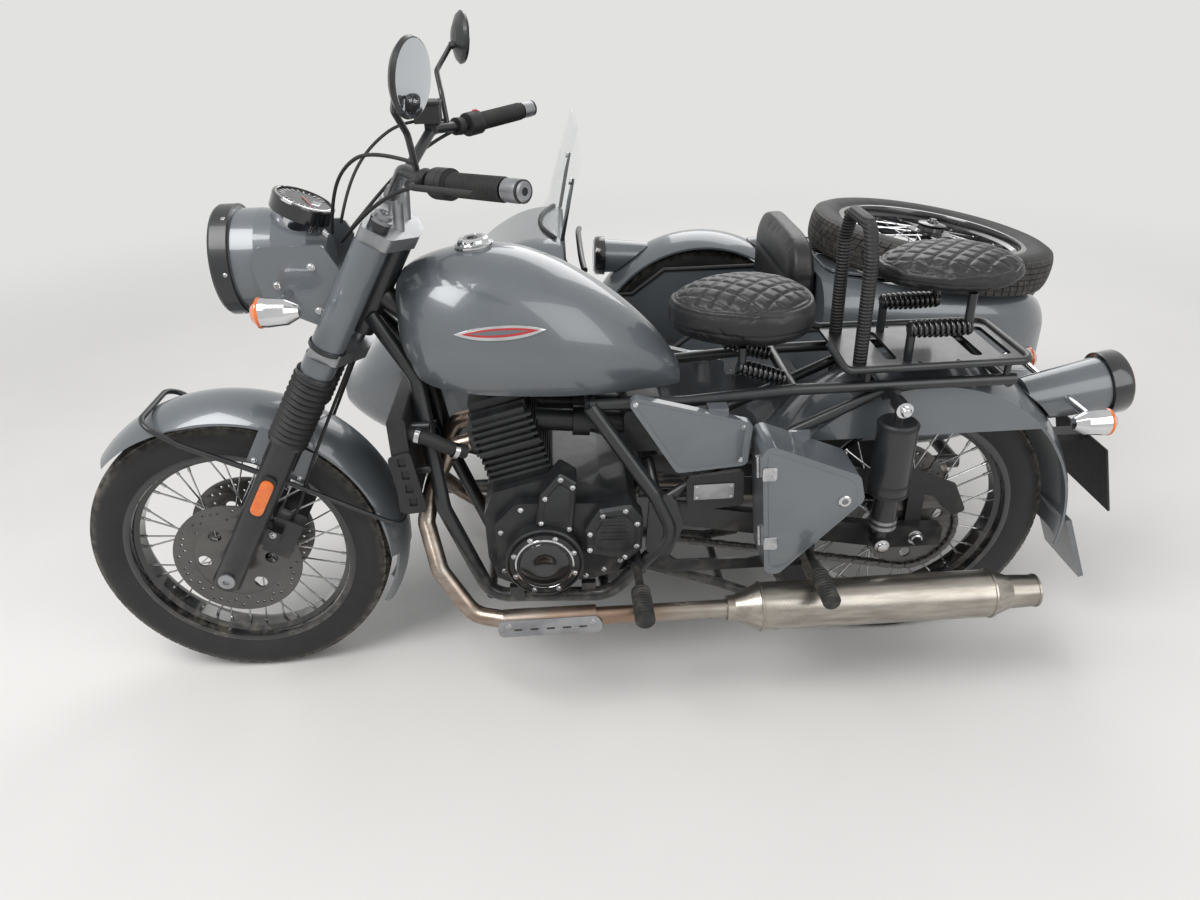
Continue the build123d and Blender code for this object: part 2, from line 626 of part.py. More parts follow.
def plate_bracket():
    """Bracket with the blank number plate, behind the rear mudguard."""
    board = plate(((-400, 520), (-404, 520), (-448, 362), (-444, 360)), -110, 110)
    stay = block(-402, -320, -20, 20, 496, 514)
    return fused([board, stay]) - round_rear(REAR_GUARD_R + SEAT)


def luggage_rack():
    """Slotted carrier plate over the rear mudguard, with its tubular edge and raised front ends."""
    top = flat(((190, -128), (190, 128), (-190, 118), (-190, -118)), 738, 746, 24)
    for x in (-150, -90, 90):
        top -= flat(((x - 12, -80), (x + 12, -80), (x + 12, 80), (x - 12, 80)), 730, 750, 11)
    for x in (-40, 40):
        for y in (-100, 100):
            top -= Pos(x, y, 742) * Cylinder(4.25, 20)
    edge = pipe(((240, 124, 806), (200, 126, 746), (-187, 118, 746), (-187, -118, 746), (200, -126, 746), (240, -124, 806)),
                8.0, (30, 30, 30, 30))
    rail_top = ROD_SEAT_Z + 12 + SEAT
    legs = [rod((x, side * SUBFRAME_HALF, rail_top), (x, side * SUBFRAME_HALF, 740), 7.0) for x in (-140, 150) for side in (1, -1)]
    return fused([top, edge] + legs)


def saddle(x0, x1, half, z0, z1):
    """Plain seat pad: wide at the back, narrow at the front, with a rounded top edge."""
    outline = ((x1, -half * 0.45), (x1, half * 0.45), (x0 + (x1 - x0) * 0.4, half), (x0, half * 0.7), (x0, -half * 0.7),
               (x0 + (x1 - x0) * 0.4, -half))
    pad = flat(outline, z0, z1, 52)
    return fillet(pad.edges().group_by(Axis.Z)[-1], 16)


def seat_springs():
    """Lying barrel springs under both seats, with the posts that they work on."""
    springs = []
    for side in (1, -1):
        y = side * 70
        run = (Vector(407, 0, 742) - Vector(300, 0, ROD_SEAT_Z + 2)).normalized()
        start = Vector(300, y, ROD_SEAT_Z + 2) + run * (11 + SEAT)
        end = Vector(407, y, 742)
        springs.append(fused([rod(tuple(start), tuple(end), 18.0), rod((400, y, 742), (400, y, DRIVER_SEAT_Z[0]), 9.0)]))
        y = side * 84
        springs.append(fused([rod((66, y, 812), (-60, y, 812), 18.0), rod((60, y, 746 + SEAT), (60, y, 812), 9.0),
                              rod((-54, y, 812), (-54, y, PILLION_SEAT_Z[0]), 9.0)]))
    return springs


def grab_loop():
    """Rubber grab handle between the seats."""
    foot = 746 + SEAT
    points = ((160, 86, foot), (160, 86, 960), (160, 56, 1021), (160, -56, 1021), (160, -86, 960), (160, -86, foot))
    return pipe(points, 14.0, (40, 36, 36, 40))


def fork_legs():
    """Fork tubes, sliders with their brake calipers, and the front axle."""
    legs = []
    for side in (1, -1):
        y = side * FORK_HALF
        slider = rod(fork(LEG_BOTTOM, y), fork(LEG_TOP, y), LEG_R)
        tube = rod(fork(LEG_TOP - 5, y), fork(STANCHION_TOP, y), STANCHION_R)
        low, high = sorted((side * 44, side * 82))
        caliper = leg_block(-100, -38, low, high, 64, 160) - disc_room(WHEELBASE, side * DISC_Y, TYRE_R)
        low, high = sorted((side * 71, side * 100))
        bracket = leg_block(-64, 0, low, high, 90, 134)
        legs.append(fused([slider, tube, bracket, caliper]))
    axle = rod((WHEELBASE, -FORK_HALF, TYRE_R), (WHEELBASE, FORK_HALF, TYRE_R), AXLE_R)
    return fused(legs + [axle])


def fork_gaiters():
    """Ribbed rubber gaiter on each fork tube."""
    length = GAITER_TOP - LEG_TOP
    step = length / GAITER_RIBS
    profile = [(0, STANCHION_R + SEAT)]
    for i in range(GAITER_RIBS):
        profile += [(i * step, GAITER_ROOT_R), (i * step + step / 2, GAITER_R)]
    profile += [(length, GAITER_ROOT_R), (length, STANCHION_R + SEAT)]
    return [spun(profile, fork(LEG_TOP + SEAT, side * FORK_HALF), Vector(*fork(1)) - Vector(*fork(0))) for side in (1, -1)]


def fork_covers():
    """Painted upper fork covers, with the ears that hold the headlamp."""
    covers = []
    for side in (1, -1):
        y = side * FORK_HALF
        covers.append(rod(fork(GAITER_TOP + 1, y), fork(LOWER_YOKE - YOKE_T / 2 - SEAT, y), COVER_R, STANCHION_R + SEAT))
        upper = rod(fork(LOWER_YOKE + YOKE_T / 2 + SEAT, y), fork(UPPER_YOKE - YOKE_T / 2 - SEAT, y), COVER_R)
        low, high = sorted((side * (LAMP_R + SEAT), side * (LAMP_R + 7)))
        ear = plate(((1318, 1040), (1330, 1000), (1318, 930), (1200, 872), (1150, 950), (1196, 1040)), low, high, 14)
        bore = rod(fork(LOWER_YOKE, y), fork(UPPER_YOKE, y), STANCHION_R + SEAT)
        covers.append(fused([upper, ear]) - bore)
    return covers


def yoke(s, thickness, reach):
    """Fork yoke at a height on the fork: a rounded bridge between the tubes and the steering stem."""
    tilt = Plane(origin=fork(s - thickness / 2, 0, -YOKE_OFFSET), x_dir=(cos(radians(RAKE)), 0, sin(radians(RAKE))),
                 z_dir=(-sin(radians(RAKE)), 0, cos(radians(RAKE))))
    outline = ((-32, -34), (-32, 34), (YOKE_OFFSET - 30, FORK_HALF + reach), (YOKE_OFFSET + 30, FORK_HALF + reach),
               (YOKE_OFFSET + 30, -FORK_HALF - reach), (YOKE_OFFSET - 30, -FORK_HALF - reach))
    slab = flat(outline, 0, thickness, 14)
    for side in (1, -1):
        slab -= Pos(YOKE_OFFSET, side * FORK_HALF, thickness / 2) * Cylinder(STANCHION_R + AXLE_FIT, 2 * thickness)
    return tilt * slab


def bar_line():
    """Points of the handlebar from one end to the other."""
    right = [(x, -y, z) for x, y, z in reversed(BAR_POINTS[1:])]
    return right + list(BAR_POINTS[1:])


def yokes():
    """Upper and lower fork yokes with the steering stem and handlebar clamps."""
    stem = rod(fork(LOWER_YOKE, 0, -YOKE_OFFSET), fork(UPPER_YOKE, 0, -YOKE_OFFSET), 14.0)
    x, z = BAR_POINTS[0][0], BAR_POINTS[0][2]
    risers = []
    for side in (1, -1):
        risers.append(rod(fork(UPPER_YOKE, side * 45, -YOKE_OFFSET + 6), (x, side * 45, z), 14.0))
        risers.append(rod((x, side * 32, z + 2), (x, side * 58, z + 2), BAR_R + 8))
    solid = fused([yoke(LOWER_YOKE, YOKE_T, 26), yoke(UPPER_YOKE, YOKE_T, 26), stem] + risers)
    return solid - bar_bore()


def headlamp_shell():
    """Headlamp bucket with its ring."""
    return spun(((0, 0), (0, 40), (30, 72), (90, LAMP_R - 4), (120, LAMP_R), (165, LAMP_R), (165, LAMP_R + 5), (196, LAMP_R + 5),
                 (196, LAMP_R - 8), (160, LAMP_R - 8), (150, 0)), (LAMP_X - 196, 0, LAMP_Z), (1, 0, 0))


def headlamp_glass():
    """Domed headlamp glass."""
    edge = LAMP_R - 8 - SEAT
    return spun(((0, 0), (0, edge), (6, edge), (24, 70), (34, 36), (38, 0)), (LAMP_X - 12, 0, LAMP_Z), (1, 0, 0))


def speedometer(shell):
    """Round instrument pod on the headlamp shell."""
    run = (-0.42, 0, 0.91)
    pod = spun(((0, 0), (0, 44), (40, 52), (40, 57), (66, 57), (66, 52), (60, 0)), (1268, 0, 1040), run)
    return pod - shell


def handlebar():
    """Bent handlebar."""
    return pipe(bar_line(), BAR_R, (60, 60, 30, 30, 60, 60))


def bar_bore():
    """Handlebar with its play, as a cutter."""
    return pipe(bar_line(), BAR_R + SEAT, (60, 60, 30, 30, 60, 60))


def bar_controls():
    """Grips, bar ends, switch boxes and hand levers on both sides, and the brake fluid box on the right."""
    tip = Vector(*BAR_POINTS[-1])
    knee = Vector(*BAR_POINTS[-2])
    inward = (knee - tip).normalized()
    further = (Vector(*BAR_POINTS[-3]) - knee).normalized()
    ahead = Vector(0.704, 0.710, 0.0)
    grip_start = tip + inward * 4
    pieces = []
    grip = rod(tuple(grip_start), tuple(grip_start + inward * GRIP_LENGTH), GRIP_R, BAR_R + SEAT)
    end = rod(tuple(tip - inward * BAR_END_LENGTH), tuple(tip - inward * SEAT), BAR_END_R)
    box_at = grip_start + inward * (GRIP_LENGTH + 2)
    box_shape = rod(tuple(box_at), tuple(box_at + inward * 36), 24.0, BAR_R + SEAT)
    clamp = knee + further * 15
    ring = rod(tuple(knee + further * 6), tuple(knee + further * 24), 18.0)
    arm = rod(tuple(clamp), tuple(clamp + ahead * 38), 8.0)
    lever = pipe((tuple(clamp + ahead * 32), tuple(clamp - inward * 26 + ahead * 50), tuple(clamp - inward * 172 + ahead * 54)), 5.0, 12)
    lever_set = fused([ring, arm, lever]) - bar_bore()
    for shape in (grip, end, box_shape, lever_set):
        pieces += both(shape)
    reservoir = fused([block(990, 1042, -232, -182, 1202, 1238), rod((1014, -207, 1180), (1014, -207, 1206), 12.0)]) - bar_bore()
    return pieces + [reservoir]


def mirrors():
    """Round mirror each side on its bent stem."""
    foot = (984, 252, 1194)
    stem = pipe((foot, (990, 260, 1250), (1000, 300, 1290), (976, 400, 1330)), 5.5, 24)
    head = spun(((0, 0), (0, 52), (6, 54), (12, 48), (22, 24), (26, 0)), (948, 415, 1345), (0.92, -0.35, 0.1))
    joint = rod((976, 400, 1330), (952, 408, 1340), 8.0)
    return both(fused([stem, head, joint]) - bar_bore())


def leg_block(x0, x1, y0, y1, s0, s1):
    """Box square to the fork legs: forward of their line, sideways and up from the axle."""
    tilt = radians(RAKE)
    base = Plane(origin=fork(0), x_dir=(cos(tilt), 0, sin(tilt)), z_dir=(-sin(tilt), 0, cos(tilt)))
    return base * block(x0, x1, y0, y1, s0, s1)


def disc_room(x, y, z):
    """Room that a brake disc turns in, with its clearance, as a cutter."""
    return Pos(x, y, z) * Rot(90, 0, 0) * Cylinder(DISC_R + 7, DISC_T + 10)


def front_fender():
    """Deep front mudguard with its straps at the fork and its rear flap."""
    guard = arch(GUARD_R, GUARD_EDGE_R, GUARD_HALF, 40.8, 186, 2.5, FENDER_X, 0, FENDER_Z)
    guard -= Pos(1513, 0, 331) * Rot(90, 0, 0) * Cylinder(GUARD_CUT_R, 400)
    straps = []
    for side in (1, -1):
        low, high = sorted((side * (GUARD_HALF - 2.5), side * GUARD_HALF))
        straps += [leg_block(34, 62, low, high, 262, 352), leg_block(-66, -34, low, high, 262, 342), leg_block(-60, 60, low, high, 262, 280)]
    flap = arch(GUARD_R - 2.5 - SEAT, GUARD_EDGE_R + 14, 50, 178, 212, 2.5, FENDER_X, 0, FENDER_Z)
    return [fused([guard] + straps), flap]


def fender_stays():
    """Tubular hoop over the mudguard's nose and the loop behind its rear edge."""
    reach = GUARD_R + 6 + SEAT
    nose_z = FENDER_Z + sqrt(reach ** 2 - (GUARD_HOOP_X - FENDER_X) ** 2)
    nose = pipe(((1408, 88, 560), (1560, 92, 640), (GUARD_HOOP_X, 88, nose_z), (GUARD_HOOP_X, -88, nose_z), (1560, -92, 640),
                 (1408, -88, 560)), 6.0, (60, 34, 34, 60))
    reach = GUARD_R + 5 + SEAT
    tail_x = FENDER_X - sqrt(reach ** 2 - (GUARD_LOOP_Z - FENDER_Z) ** 2)
    tail = pipe(((1376, 92, 548), (tail_x, 92, GUARD_LOOP_Z), (tail_x, -92, GUARD_LOOP_Z), (1376, -92, 548)), 5.0, 38)
    legs = fork_legs()
    return [nose - legs, tail - legs]


def front_indicators():
    """Bullet indicator each side of the headlamp."""
    lamp = spun(((0, 0), (4, 12), (26, 24), (60, 27), (72, 27), (86, 18), (92, 0)), (1226, 196, 948), (1, 0, 0))
    return both(fused([lamp, rod((1272, LAMP_R + 7 + SEAT, 952), (1272, 190, 948), 8.0)]))


def tub_loft(rows, shrink):
    """Part of the tub's outer form, or its inside when shrunk by the wall."""
    faces = []
    for x, half, low, high, corner in rows:
        face = RectangleRounded(2 * (half - shrink), high - low - 2 * shrink, corner - shrink)
        faces.append(Plane(origin=(x, TUB_Y, (low + high) / 2), x_dir=(0, 1, 0), z_dir=(1, 0, 0)) * face)
    return loft(faces)


def tub_rear_rows():
    """Boot sections with their tops set by the deck line."""
    return [(x, half, low, deck_z(x) + rise, corner) for x, half, low, rise, corner in TUB_REAR]


def deck_z(x):
    """Height of the boot deck."""
    return 702.0 + (x - SPARE[0]) * tan(radians(DECK_TILT))


def boot_cut(grow, low, high):
    """Slab along the sloping deck, over the boot's opening."""
    mid = (LID_X[0] + LID_X[1]) / 2
    length = (LID_X[1] - LID_X[0]) + 2 * grow
    slab = RectangleRounded(length, 2 * (LID_HALF + grow), 40)
    base = Plane(origin=(mid, TUB_Y, deck_z(mid)), x_dir=(cos(radians(DECK_TILT)), 0, sin(radians(DECK_TILT))),
                 z_dir=(-sin(radians(DECK_TILT)), 0, cos(radians(DECK_TILT))))
    return base * (Pos(0, 0, low) * extrude(slab, amount=high - low))


def sidecar_body():
    """Hollow sidecar tub: nose, cockpit with its seat base, and boot with the lugs of its lid."""
    y0, y1 = TUB_Y - 400, TUB_Y + 400
    rear = tub_loft(tub_rear_rows(), 0)
    boot = tub_loft(tub_rear_rows(), TUB_WALL) & block(-530, 100 - TUB_WALL, y0, y1, TUB_FLOOR + TUB_WALL, 1000)
    above = plate(((-700, deck_z(-700)), (200, deck_z(200)), (200, 1200), (-700, 1200)), y0, y1)
    below_deck = plate(((-700, deck_z(-700) - TUB_WALL), (200, deck_z(200) - TUB_WALL), (200, 1200), (-700, 1200)), y0, y1)
    rear = (rear & block(-600, 100, y0, y1, TUB_FLOOR, 1000)) - above - (boot - below_deck) - boot_cut(-8, -40, 40)
    front = tub_loft(TUB_FRONT, 0) & block(100, 1500, y0, y1, TUB_FLOOR, 1200)
    rim = plate(((90, 640), (440, 640), (540, 566), (700, 566), (752, 700), (752, 1200), (90, 1200)), y0, y1)
    cabin = tub_loft(TUB_FRONT, TUB_WALL) & block(100 + TUB_WALL, 1330, y0, y1, TUB_FLOOR + TUB_WALL, 1000)
    front = front - rim - cabin
    base = block(200, 600, TUB_Y - 190, TUB_Y + 190, TUB_FLOOR + 2, 330 - SEAT)
    x, z = LID_HINGE
    lugs = []
    for side in (1, -1):
        low, high = sorted((TUB_Y + side * (LID_STRAP_Y + 12 + SEAT), TUB_Y + side * (LID_STRAP_Y + 20)))
        lug = plate(((x - 9, z + 7), (x - 9, z - 9), (x + 4, z - 30), (x + 20, z - 30), (x + 20, z - 4), (x + 7, z + 7)), low, high, 3)
        lugs.append(lug - rod((x, low - 1, z), (x, high + 1, z), LID_PIN_R + AXLE_FIT))
    return fused([rear, front, base] + lugs)


def boot_lid():
    """Boot lid with the spare wheel's carrier on it, and the straps to its hinge at the tub's tail."""
    panel = boot_cut(4, SEAT, SEAT + 4.0)
    tilt = radians(DECK_TILT)
    up = Vector(-sin(tilt), 0, cos(tilt))
    centre = Vector(SPARE[0], TUB_Y - 23, SPARE[1])
    drop = (SPARE[1] - deck_z(SPARE[0])) * cos(tilt)
    post = rod(tuple(centre - up * (drop - 2)), tuple(centre + up * 58), AXLE_R)
    seat = rod(tuple(centre - up * (drop - 2)), tuple(centre - up * (HUB_HALF + SEAT)), 30.0)
    x, z = LID_HINGE
    straps = []
    for side in (1, -1):
        low, high = sorted((TUB_Y + side * (LID_STRAP_Y - 12), TUB_Y + side * (LID_STRAP_Y + 12)))
        strap = plate(((-420, deck_z(-420) + 1), (-420, deck_z(-420) + 5), (-514, deck_z(-514) + 6), (x - 2, z + 8), (x - 8, z + 4),
                       (x - 8, z - 6), (x + 2, z - 8), (-520, deck_z(-520) + 1.5)), low, high)
        straps.append(strap)
        low, high = sorted((TUB_Y + side * (LID_STRAP_Y - 12), TUB_Y + side * (LID_STRAP_Y + 22)))
        straps.append(rod((x, low, z), (x, high, z), LID_PIN_R))
    return fused([panel, post, seat] + straps)


def sidecar_cushion():
    """Seat cushion of the sidecar."""
    return block(190, 620, TUB_Y - 225, TUB_Y + 225, 330, 450)


def sidecar_backrest():
    """Backrest of the sidecar."""
    pad = block(100 + TUB_WALL + SEAT, BACKREST_X[1], TUB_Y - 235, TUB_Y + 235, 455, 862)
    return fillet(pad.edges().filter_by(Axis.X), 38)


def windscreen():
    """Curved clear screen with a rounded top, trimmed along the cowl."""
    sheet = Pos(-SCREEN_R, 0, 0) * (Cylinder(SCREEN_R, 900) - Cylinder(SCREEN_R - SCREEN_T, 910))
    half = SCREEN_HALF
    outline = [Line((-90, -half, -90), (-90, half, -90)), Line((-90, half, -90), (-90, half, 212)),
               ThreePointArc((-90, half, 212), (-90, 0, 289), (-90, -half, 212)), Line((-90, -half, 212), (-90, -half, -90))]
    trimmed = sheet & extrude(make_face(outline), amount=100, dir=(1, 0, 0))
    placed = Pos(SCREEN_FOOT[0], TUB_Y, SCREEN_FOOT[1]) * Rot(0, -SCREEN_LEAN, 0) * trimmed
    return sorted((placed - tub_loft(TUB_FRONT, 0)).solids(), key=lambda s: s.volume)[-1]


def sidecar_frame():
    """Sidecar chassis of round tubes, with the struts to the bike."""
    z = TUB_FLOOR - SEAT - 19.0
    left, right = SIDE_FRAME_LEFT, SIDE_FRAME_RIGHT
    pieces = [pipe(((-330, left, z), (1120, left, z), (1240, TUB_Y, z), (1000, right, z), (-330, right, z)), 19.0, (90, 90, 90)),
              rod((-320, left, z), (-320, right, z), 19.0), rod((250, left, z), (250, right, z), 19.0),
              rod((720, left, z), (720, -1010 + 16 + SEAT, z), 19.0)]
    low = CRADLE_Z - TUBE_R - SEAT - 13.0
    pieces.append(rod((900, -112, low), (900, left, low), 13.0))
    pieces.append(rod((PIVOT[0], -174 - SEAT, PIVOT[1]), (PIVOT[0], -206, PIVOT[1]), 15.0))
    pieces.append(rod((PIVOT[0], -198, PIVOT[1]), (300, left, z), 13.0))
    pieces.append(pipe(((250, right, z), (250, POST_Y, z + 60), (250, POST_Y, 585)), 12.0, 30))
    pieces.append(rod((250, POST_Y, 560), (250, -1000 + 22 + SEAT, 560), 10.0))
    return fused(pieces)


def sidecar_swingarm():
    """Trailing arm, axle, shock absorber and brake caliper of the sidecar wheel."""
    y = -1010.0
    z = TUB_FLOOR - SEAT - 19.0
    arm = pipe(((740, y, z), (520, y, 250), (SIDECAR_LEAD - 20, y, TYRE_R)), 16.0, 80)
    axle = rod((SIDECAR_LEAD, y, TYRE_R), (SIDECAR_LEAD, -SIDECAR_TRACK - 60, TYRE_R), AXLE_R)
    damper = rod((360, y, 320), (250, -1000, 580), 22.0)
    caliper = block(396, 484, -1068, -1014, 270, 384) - disc_room(SIDECAR_LEAD, -SIDECAR_TRACK + DISC_Y, TYRE_R)
    return fused([arm, axle, damper, caliper])


def sidecar_fender():
    """Mudguard over the sidecar wheel, with its stays to the tub."""
    guard = arch(SIDE_GUARD_R, 346, 92, 12, 172, 2.5, SIDECAR_LEAD, -SIDECAR_TRACK)
    inner = -SIDECAR_TRACK + 90
    side = TUB_Y - 285 - SEAT
    stays = [rod((640, inner - 4, 446), (640, side, 446), 9.0), rod((62, inner - 4, 580), (62, side + 8, 580), 9.0)]
    return fused([guard] + stays)


def round_side(radius):
    """Solid drum about the sidecar axle, as a cutter."""
    return Pos(SIDECAR_LEAD, -SIDECAR_TRACK, TYRE_R) * Rot(90, 0, 0) * Cylinder(radius, 600)


def sidecar_lamps():
    """Position lamp at the front of the sidecar mudguard and tail lamp at its rear."""
    profile = ((0, 0), (0, 44), (140, 54), (140, 60), (166, 60), (176, 50), (176, 0))
    drum = round_side(SIDE_GUARD_R + SEAT)
    front = spun(profile, (476, -SIDECAR_TRACK, 636), (1, 0, 0.05)) - drum
    rear = spun(profile, (142, -SIDECAR_TRACK, 636), (-1, 0, 0.05)) - drum
    return [front, rear]


def centre_stand():
    """Folded centre stand below the frame."""
    x, z = STAND_HINGE
    pieces = [rod((x, -STAND_HALF + SEAT, z), (x, STAND_HALF - SEAT, z), 12.0), rod((430, -100, 214), (430, 100, 214), 9.0)]
    for side in (1, -1):
        pieces.append(pipe(((x, side * 66, z), (440, side * 96, 216), (350, side * 135, 200)), 11.0, 60))
    return fused(pieces)


def wheel_at(x, y, z=TYRE_R, turn=None):
    """Place for a wheel."""
    return Pos(x, y, z) * (turn if turn else Rot(0, 0, 0))


def build():
    """All pieces by node name, about the ground point below the rear axle."""
    tyre_form = tyre()
    rim_form = rim()
    wheel_form = fused([rim_form, spoked_hub()])
    sprocket = Pos(0, CHAIN_Y, 0) * Rot(90, 0, 0) * (Cylinder(SPROCKET_R, 8) - Cylinder(AXLE_R + 4, 10))
    sprocket_boss = turned(((HUB_HALF - 4, AXLE_R + 4), (CHAIN_Y + 4, AXLE_R + 4), (CHAIN_Y + 4, HUB_R - 4), (HUB_HALF - 4, HUB_R - 4)))
    front_place = wheel_at(WHEELBASE, 0)
    rear_place = wheel_at(0, 0)
    side_place = wheel_at(SIDECAR_LEAD, -SIDECAR_TRACK)
    spare_place = wheel_at(SPARE[0], TUB_Y - 23, SPARE[1], Rot(0, -DECK_TILT, 0) * Rot(90, 0, 0))
    front_hub = fused([wheel_form, brake_disc(DISC_Y), brake_disc(-DISC_Y)])
    rear_hub = fused([wheel_form, brake_disc(-DISC_Y), sprocket, sprocket_boss])
    side_hub = fused([wheel_form, brake_disc(DISC_Y)])
    tank = fuel_tank()
    shell = headlamp_shell()
    screen = windscreen()
    return {
        "main_frame": [main_frame()],
        "engine_cases": [engine_cases()],
        "cylinder_block": [cylinder_block()],
        "intake": [intake()],
        "battery_panel": [battery_panel()],
        "radiator": [radiator()],
        "fuel_tank": [tank],
        "tank_cap": [tank_cap(tank)],
        "side_covers": side_covers(),
        "toolbox_body": [toolbox_body()],
        "toolbox_door": [toolbox_door()],
        "exhaust_pipes": exhaust_pipes(),
        "silencers": silencers(),
        "foot_pegs": foot_pegs(),
        "swingarm": [swingarm()],
        "shock_absorbers": shock_absorbers(),
        "chain": [chain()],
        "chain_guard": [chain_guard()],
        "rear_fender": [rear_fender()],
        "rear_lamp": [rear_lamp()],
        "rear_indicators": rear_indicators(),
        "plate_bracket": [plate_bracket()],
        "luggage_rack": [luggage_rack()],
        "driver_seat": [saddle(237, 549, 140, DRIVER_SEAT_Z[0] + SEAT, DRIVER_SEAT_Z[1])],
        "pillion_seat": [saddle(-182, 124, 132, PILLION_SEAT_Z[0] + SEAT, PILLION_SEAT_Z[1])],
        "seat_springs": seat_springs(),
        "grab_loop": [grab_loop()],
        "fork_legs": [fork_legs()],
        "fork_gaiters": fork_gaiters(),
        "fork_covers": fork_covers(),
        "yokes": [yokes()],
        "headlamp_shell": [shell],
        "headlamp_glass": [headlamp_glass()],
        "speedometer": [speedometer(shell)],
        "handlebar": [handlebar()],
        "bar_controls": bar_controls(),
        "mirrors": mirrors(),
        "front_fender": front_fender(),
        "fender_stays": fender_stays(),
        "front_indicators": front_indicators(),
        "front_tyre": [front_place * tyre_form],
        "front_wheel": [front_place * front_hub],
        "rear_tyre": [rear_place * tyre_form],
        "rear_wheel": [rear_place * rear_hub],
        "sidecar_tyre": [side_place * tyre_form],
        "sidecar_wheel": [side_place * side_hub],
        "spare_tyre": [spare_place * tyre_form],
        "spare_wheel": [spare_place * wheel_form],
        "boot_lid": [boot_lid()],
        "sidecar_frame": [sidecar_frame()],
        "sidecar_body": [sidecar_body()],
        "sidecar_cushion": [sidecar_cushion()],
        "sidecar_backrest": [sidecar_backrest()],
        "windscreen": [screen],
        "screen_stays": screen_stays(screen),
        "step_plate": [step_plate()],
        "sidecar_fender": [sidecar_fender()],
        "sidecar_lamps": sidecar_lamps(),
        "sidecar_swingarm": [sidecar_swingarm()],
        "centre_stand": [centre_stand()],
    }


def origin_shift(parts):
    """Move that puts the origin at the middle of the ground rectangle."""
    bounds = Compound(children=[copy_of(s) for shapes in parts.values() for s in shapes]).bounding_box()
    return Vector(-(bounds.min.X + bounds.max.X) / 2, -(bounds.min.Y + bounds.max.Y) / 2, -bounds.min.Z)


def copy_of(shape):
    """A copy of a shape that can join another compound."""
    return Pos(0, 0, 0) * shape


def main():
    """Write one STEP file for each node."""
    os.makedirs("parts", exist_ok=True)
    parts = build()
    shift = origin_shift(parts)
    print("origin shift", [round(v, 3) for v in shift])
    for node, shapes in parts.items():
        moved = [solid for shape in shapes for solid in (Pos(*shift) * shape).solids()]
        export_step(Compound(children=moved), f"parts/{node}.step")


main()
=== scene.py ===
"""Sidecar motorcycle: finishes, soft parts, wheels and trim, dressed over the vehicle's frame."""
import logging
import math
from dataclasses import dataclass
from enum import Enum
from typing import Iterable, Sequence

import bpy
from mathutils import Matrix, Vector


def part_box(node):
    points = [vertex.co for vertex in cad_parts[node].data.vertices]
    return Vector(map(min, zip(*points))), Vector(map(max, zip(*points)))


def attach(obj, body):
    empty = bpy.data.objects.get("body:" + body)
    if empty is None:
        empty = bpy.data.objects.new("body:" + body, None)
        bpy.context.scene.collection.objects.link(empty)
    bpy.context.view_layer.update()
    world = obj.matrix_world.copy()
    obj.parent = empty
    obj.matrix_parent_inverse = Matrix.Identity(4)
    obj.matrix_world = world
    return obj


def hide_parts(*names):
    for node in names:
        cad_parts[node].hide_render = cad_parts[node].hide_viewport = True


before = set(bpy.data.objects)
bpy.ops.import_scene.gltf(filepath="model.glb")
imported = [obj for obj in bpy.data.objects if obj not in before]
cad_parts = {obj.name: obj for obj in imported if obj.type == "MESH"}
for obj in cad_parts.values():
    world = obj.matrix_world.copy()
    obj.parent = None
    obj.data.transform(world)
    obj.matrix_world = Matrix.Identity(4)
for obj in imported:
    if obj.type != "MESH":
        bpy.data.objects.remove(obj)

Point = Sequence[float]
Flat = tuple[float, float]
Shade = tuple[int, int, int]
Colour = tuple[float, float, float, float]
Piece = bpy.types.Object
LOG = logging.getLogger("sidecar_motorcycle")
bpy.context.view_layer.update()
MM = 0.001

TYRE_R = 330.0
WHEELBASE = 1517.0
SIDE_WHEEL = (309.0, -1110.0)
RAKE = math.radians(30.2)
FORK_HALF = 111.0
DECK_TILT = math.radians(9.0)
SPARE = (-271.0, -678.0, 764.0)
TUB_Y = -655.0

AHEAD, BACK, LEFT, RIGHT = (1, 0, 0), (-1, 0, 0), (0, 1, 0), (0, -1, 0)
AXLE = LEFT
SIDES = ((1, "left"), (-1, "right"))
UPRIGHT = Matrix.Rotation(math.radians(90), 4, "X")
AXLE_NUT = ((0, 17), (2, 17), (3, 13), (12, 13), (14, 10), (14, 0.1))
LONGEST_CURVE = 0.48


def rear_axle_foot() -> Vector:
    """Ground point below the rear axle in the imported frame, read from the rear tyre's box."""
    low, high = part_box("rear_tyre")
    return Vector(((low[0] + high[0]) / 2, (low[1] + high[1]) / 2, (low[2] + high[2]) / 2 - TYRE_R * MM))


FOOT = rear_axle_foot()


def at(x: float, y: float, z: float) -> Vector:
    """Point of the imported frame, in metres, from the vehicle's own millimetres."""
    return Vector((x, y, z)) * MM + FOOT


def fork_point(s: float, y: float = 0.0, forward: float = 0.0) -> tuple[float, float, float]:
    """Point at a distance up the fork from the front axle, in the vehicle's millimetres."""
    x = WHEELBASE - s * math.sin(RAKE) + forward * math.cos(RAKE)
    return (x, y, TYRE_R + s * math.cos(RAKE) + forward * math.sin(RAKE))


def tone(red: int, green: int, blue: int) -> Colour:
    """Screen colour as the linear colour a shader takes."""
    linear = [((c / 255 + 0.055) / 1.055) ** 2.4 if c > 10 else c / 255 / 12.92 for c in (red, green, blue)]
    return (linear[0], linear[1], linear[2], 1.0)


def facing(place: Vector, axis: Point) -> Matrix:
    """Move that takes the Z axis to a line from a place."""
    return Matrix.Translation(place) @ Vector(axis).normalized().to_track_quat("Z", "Y").to_matrix().to_4x4()


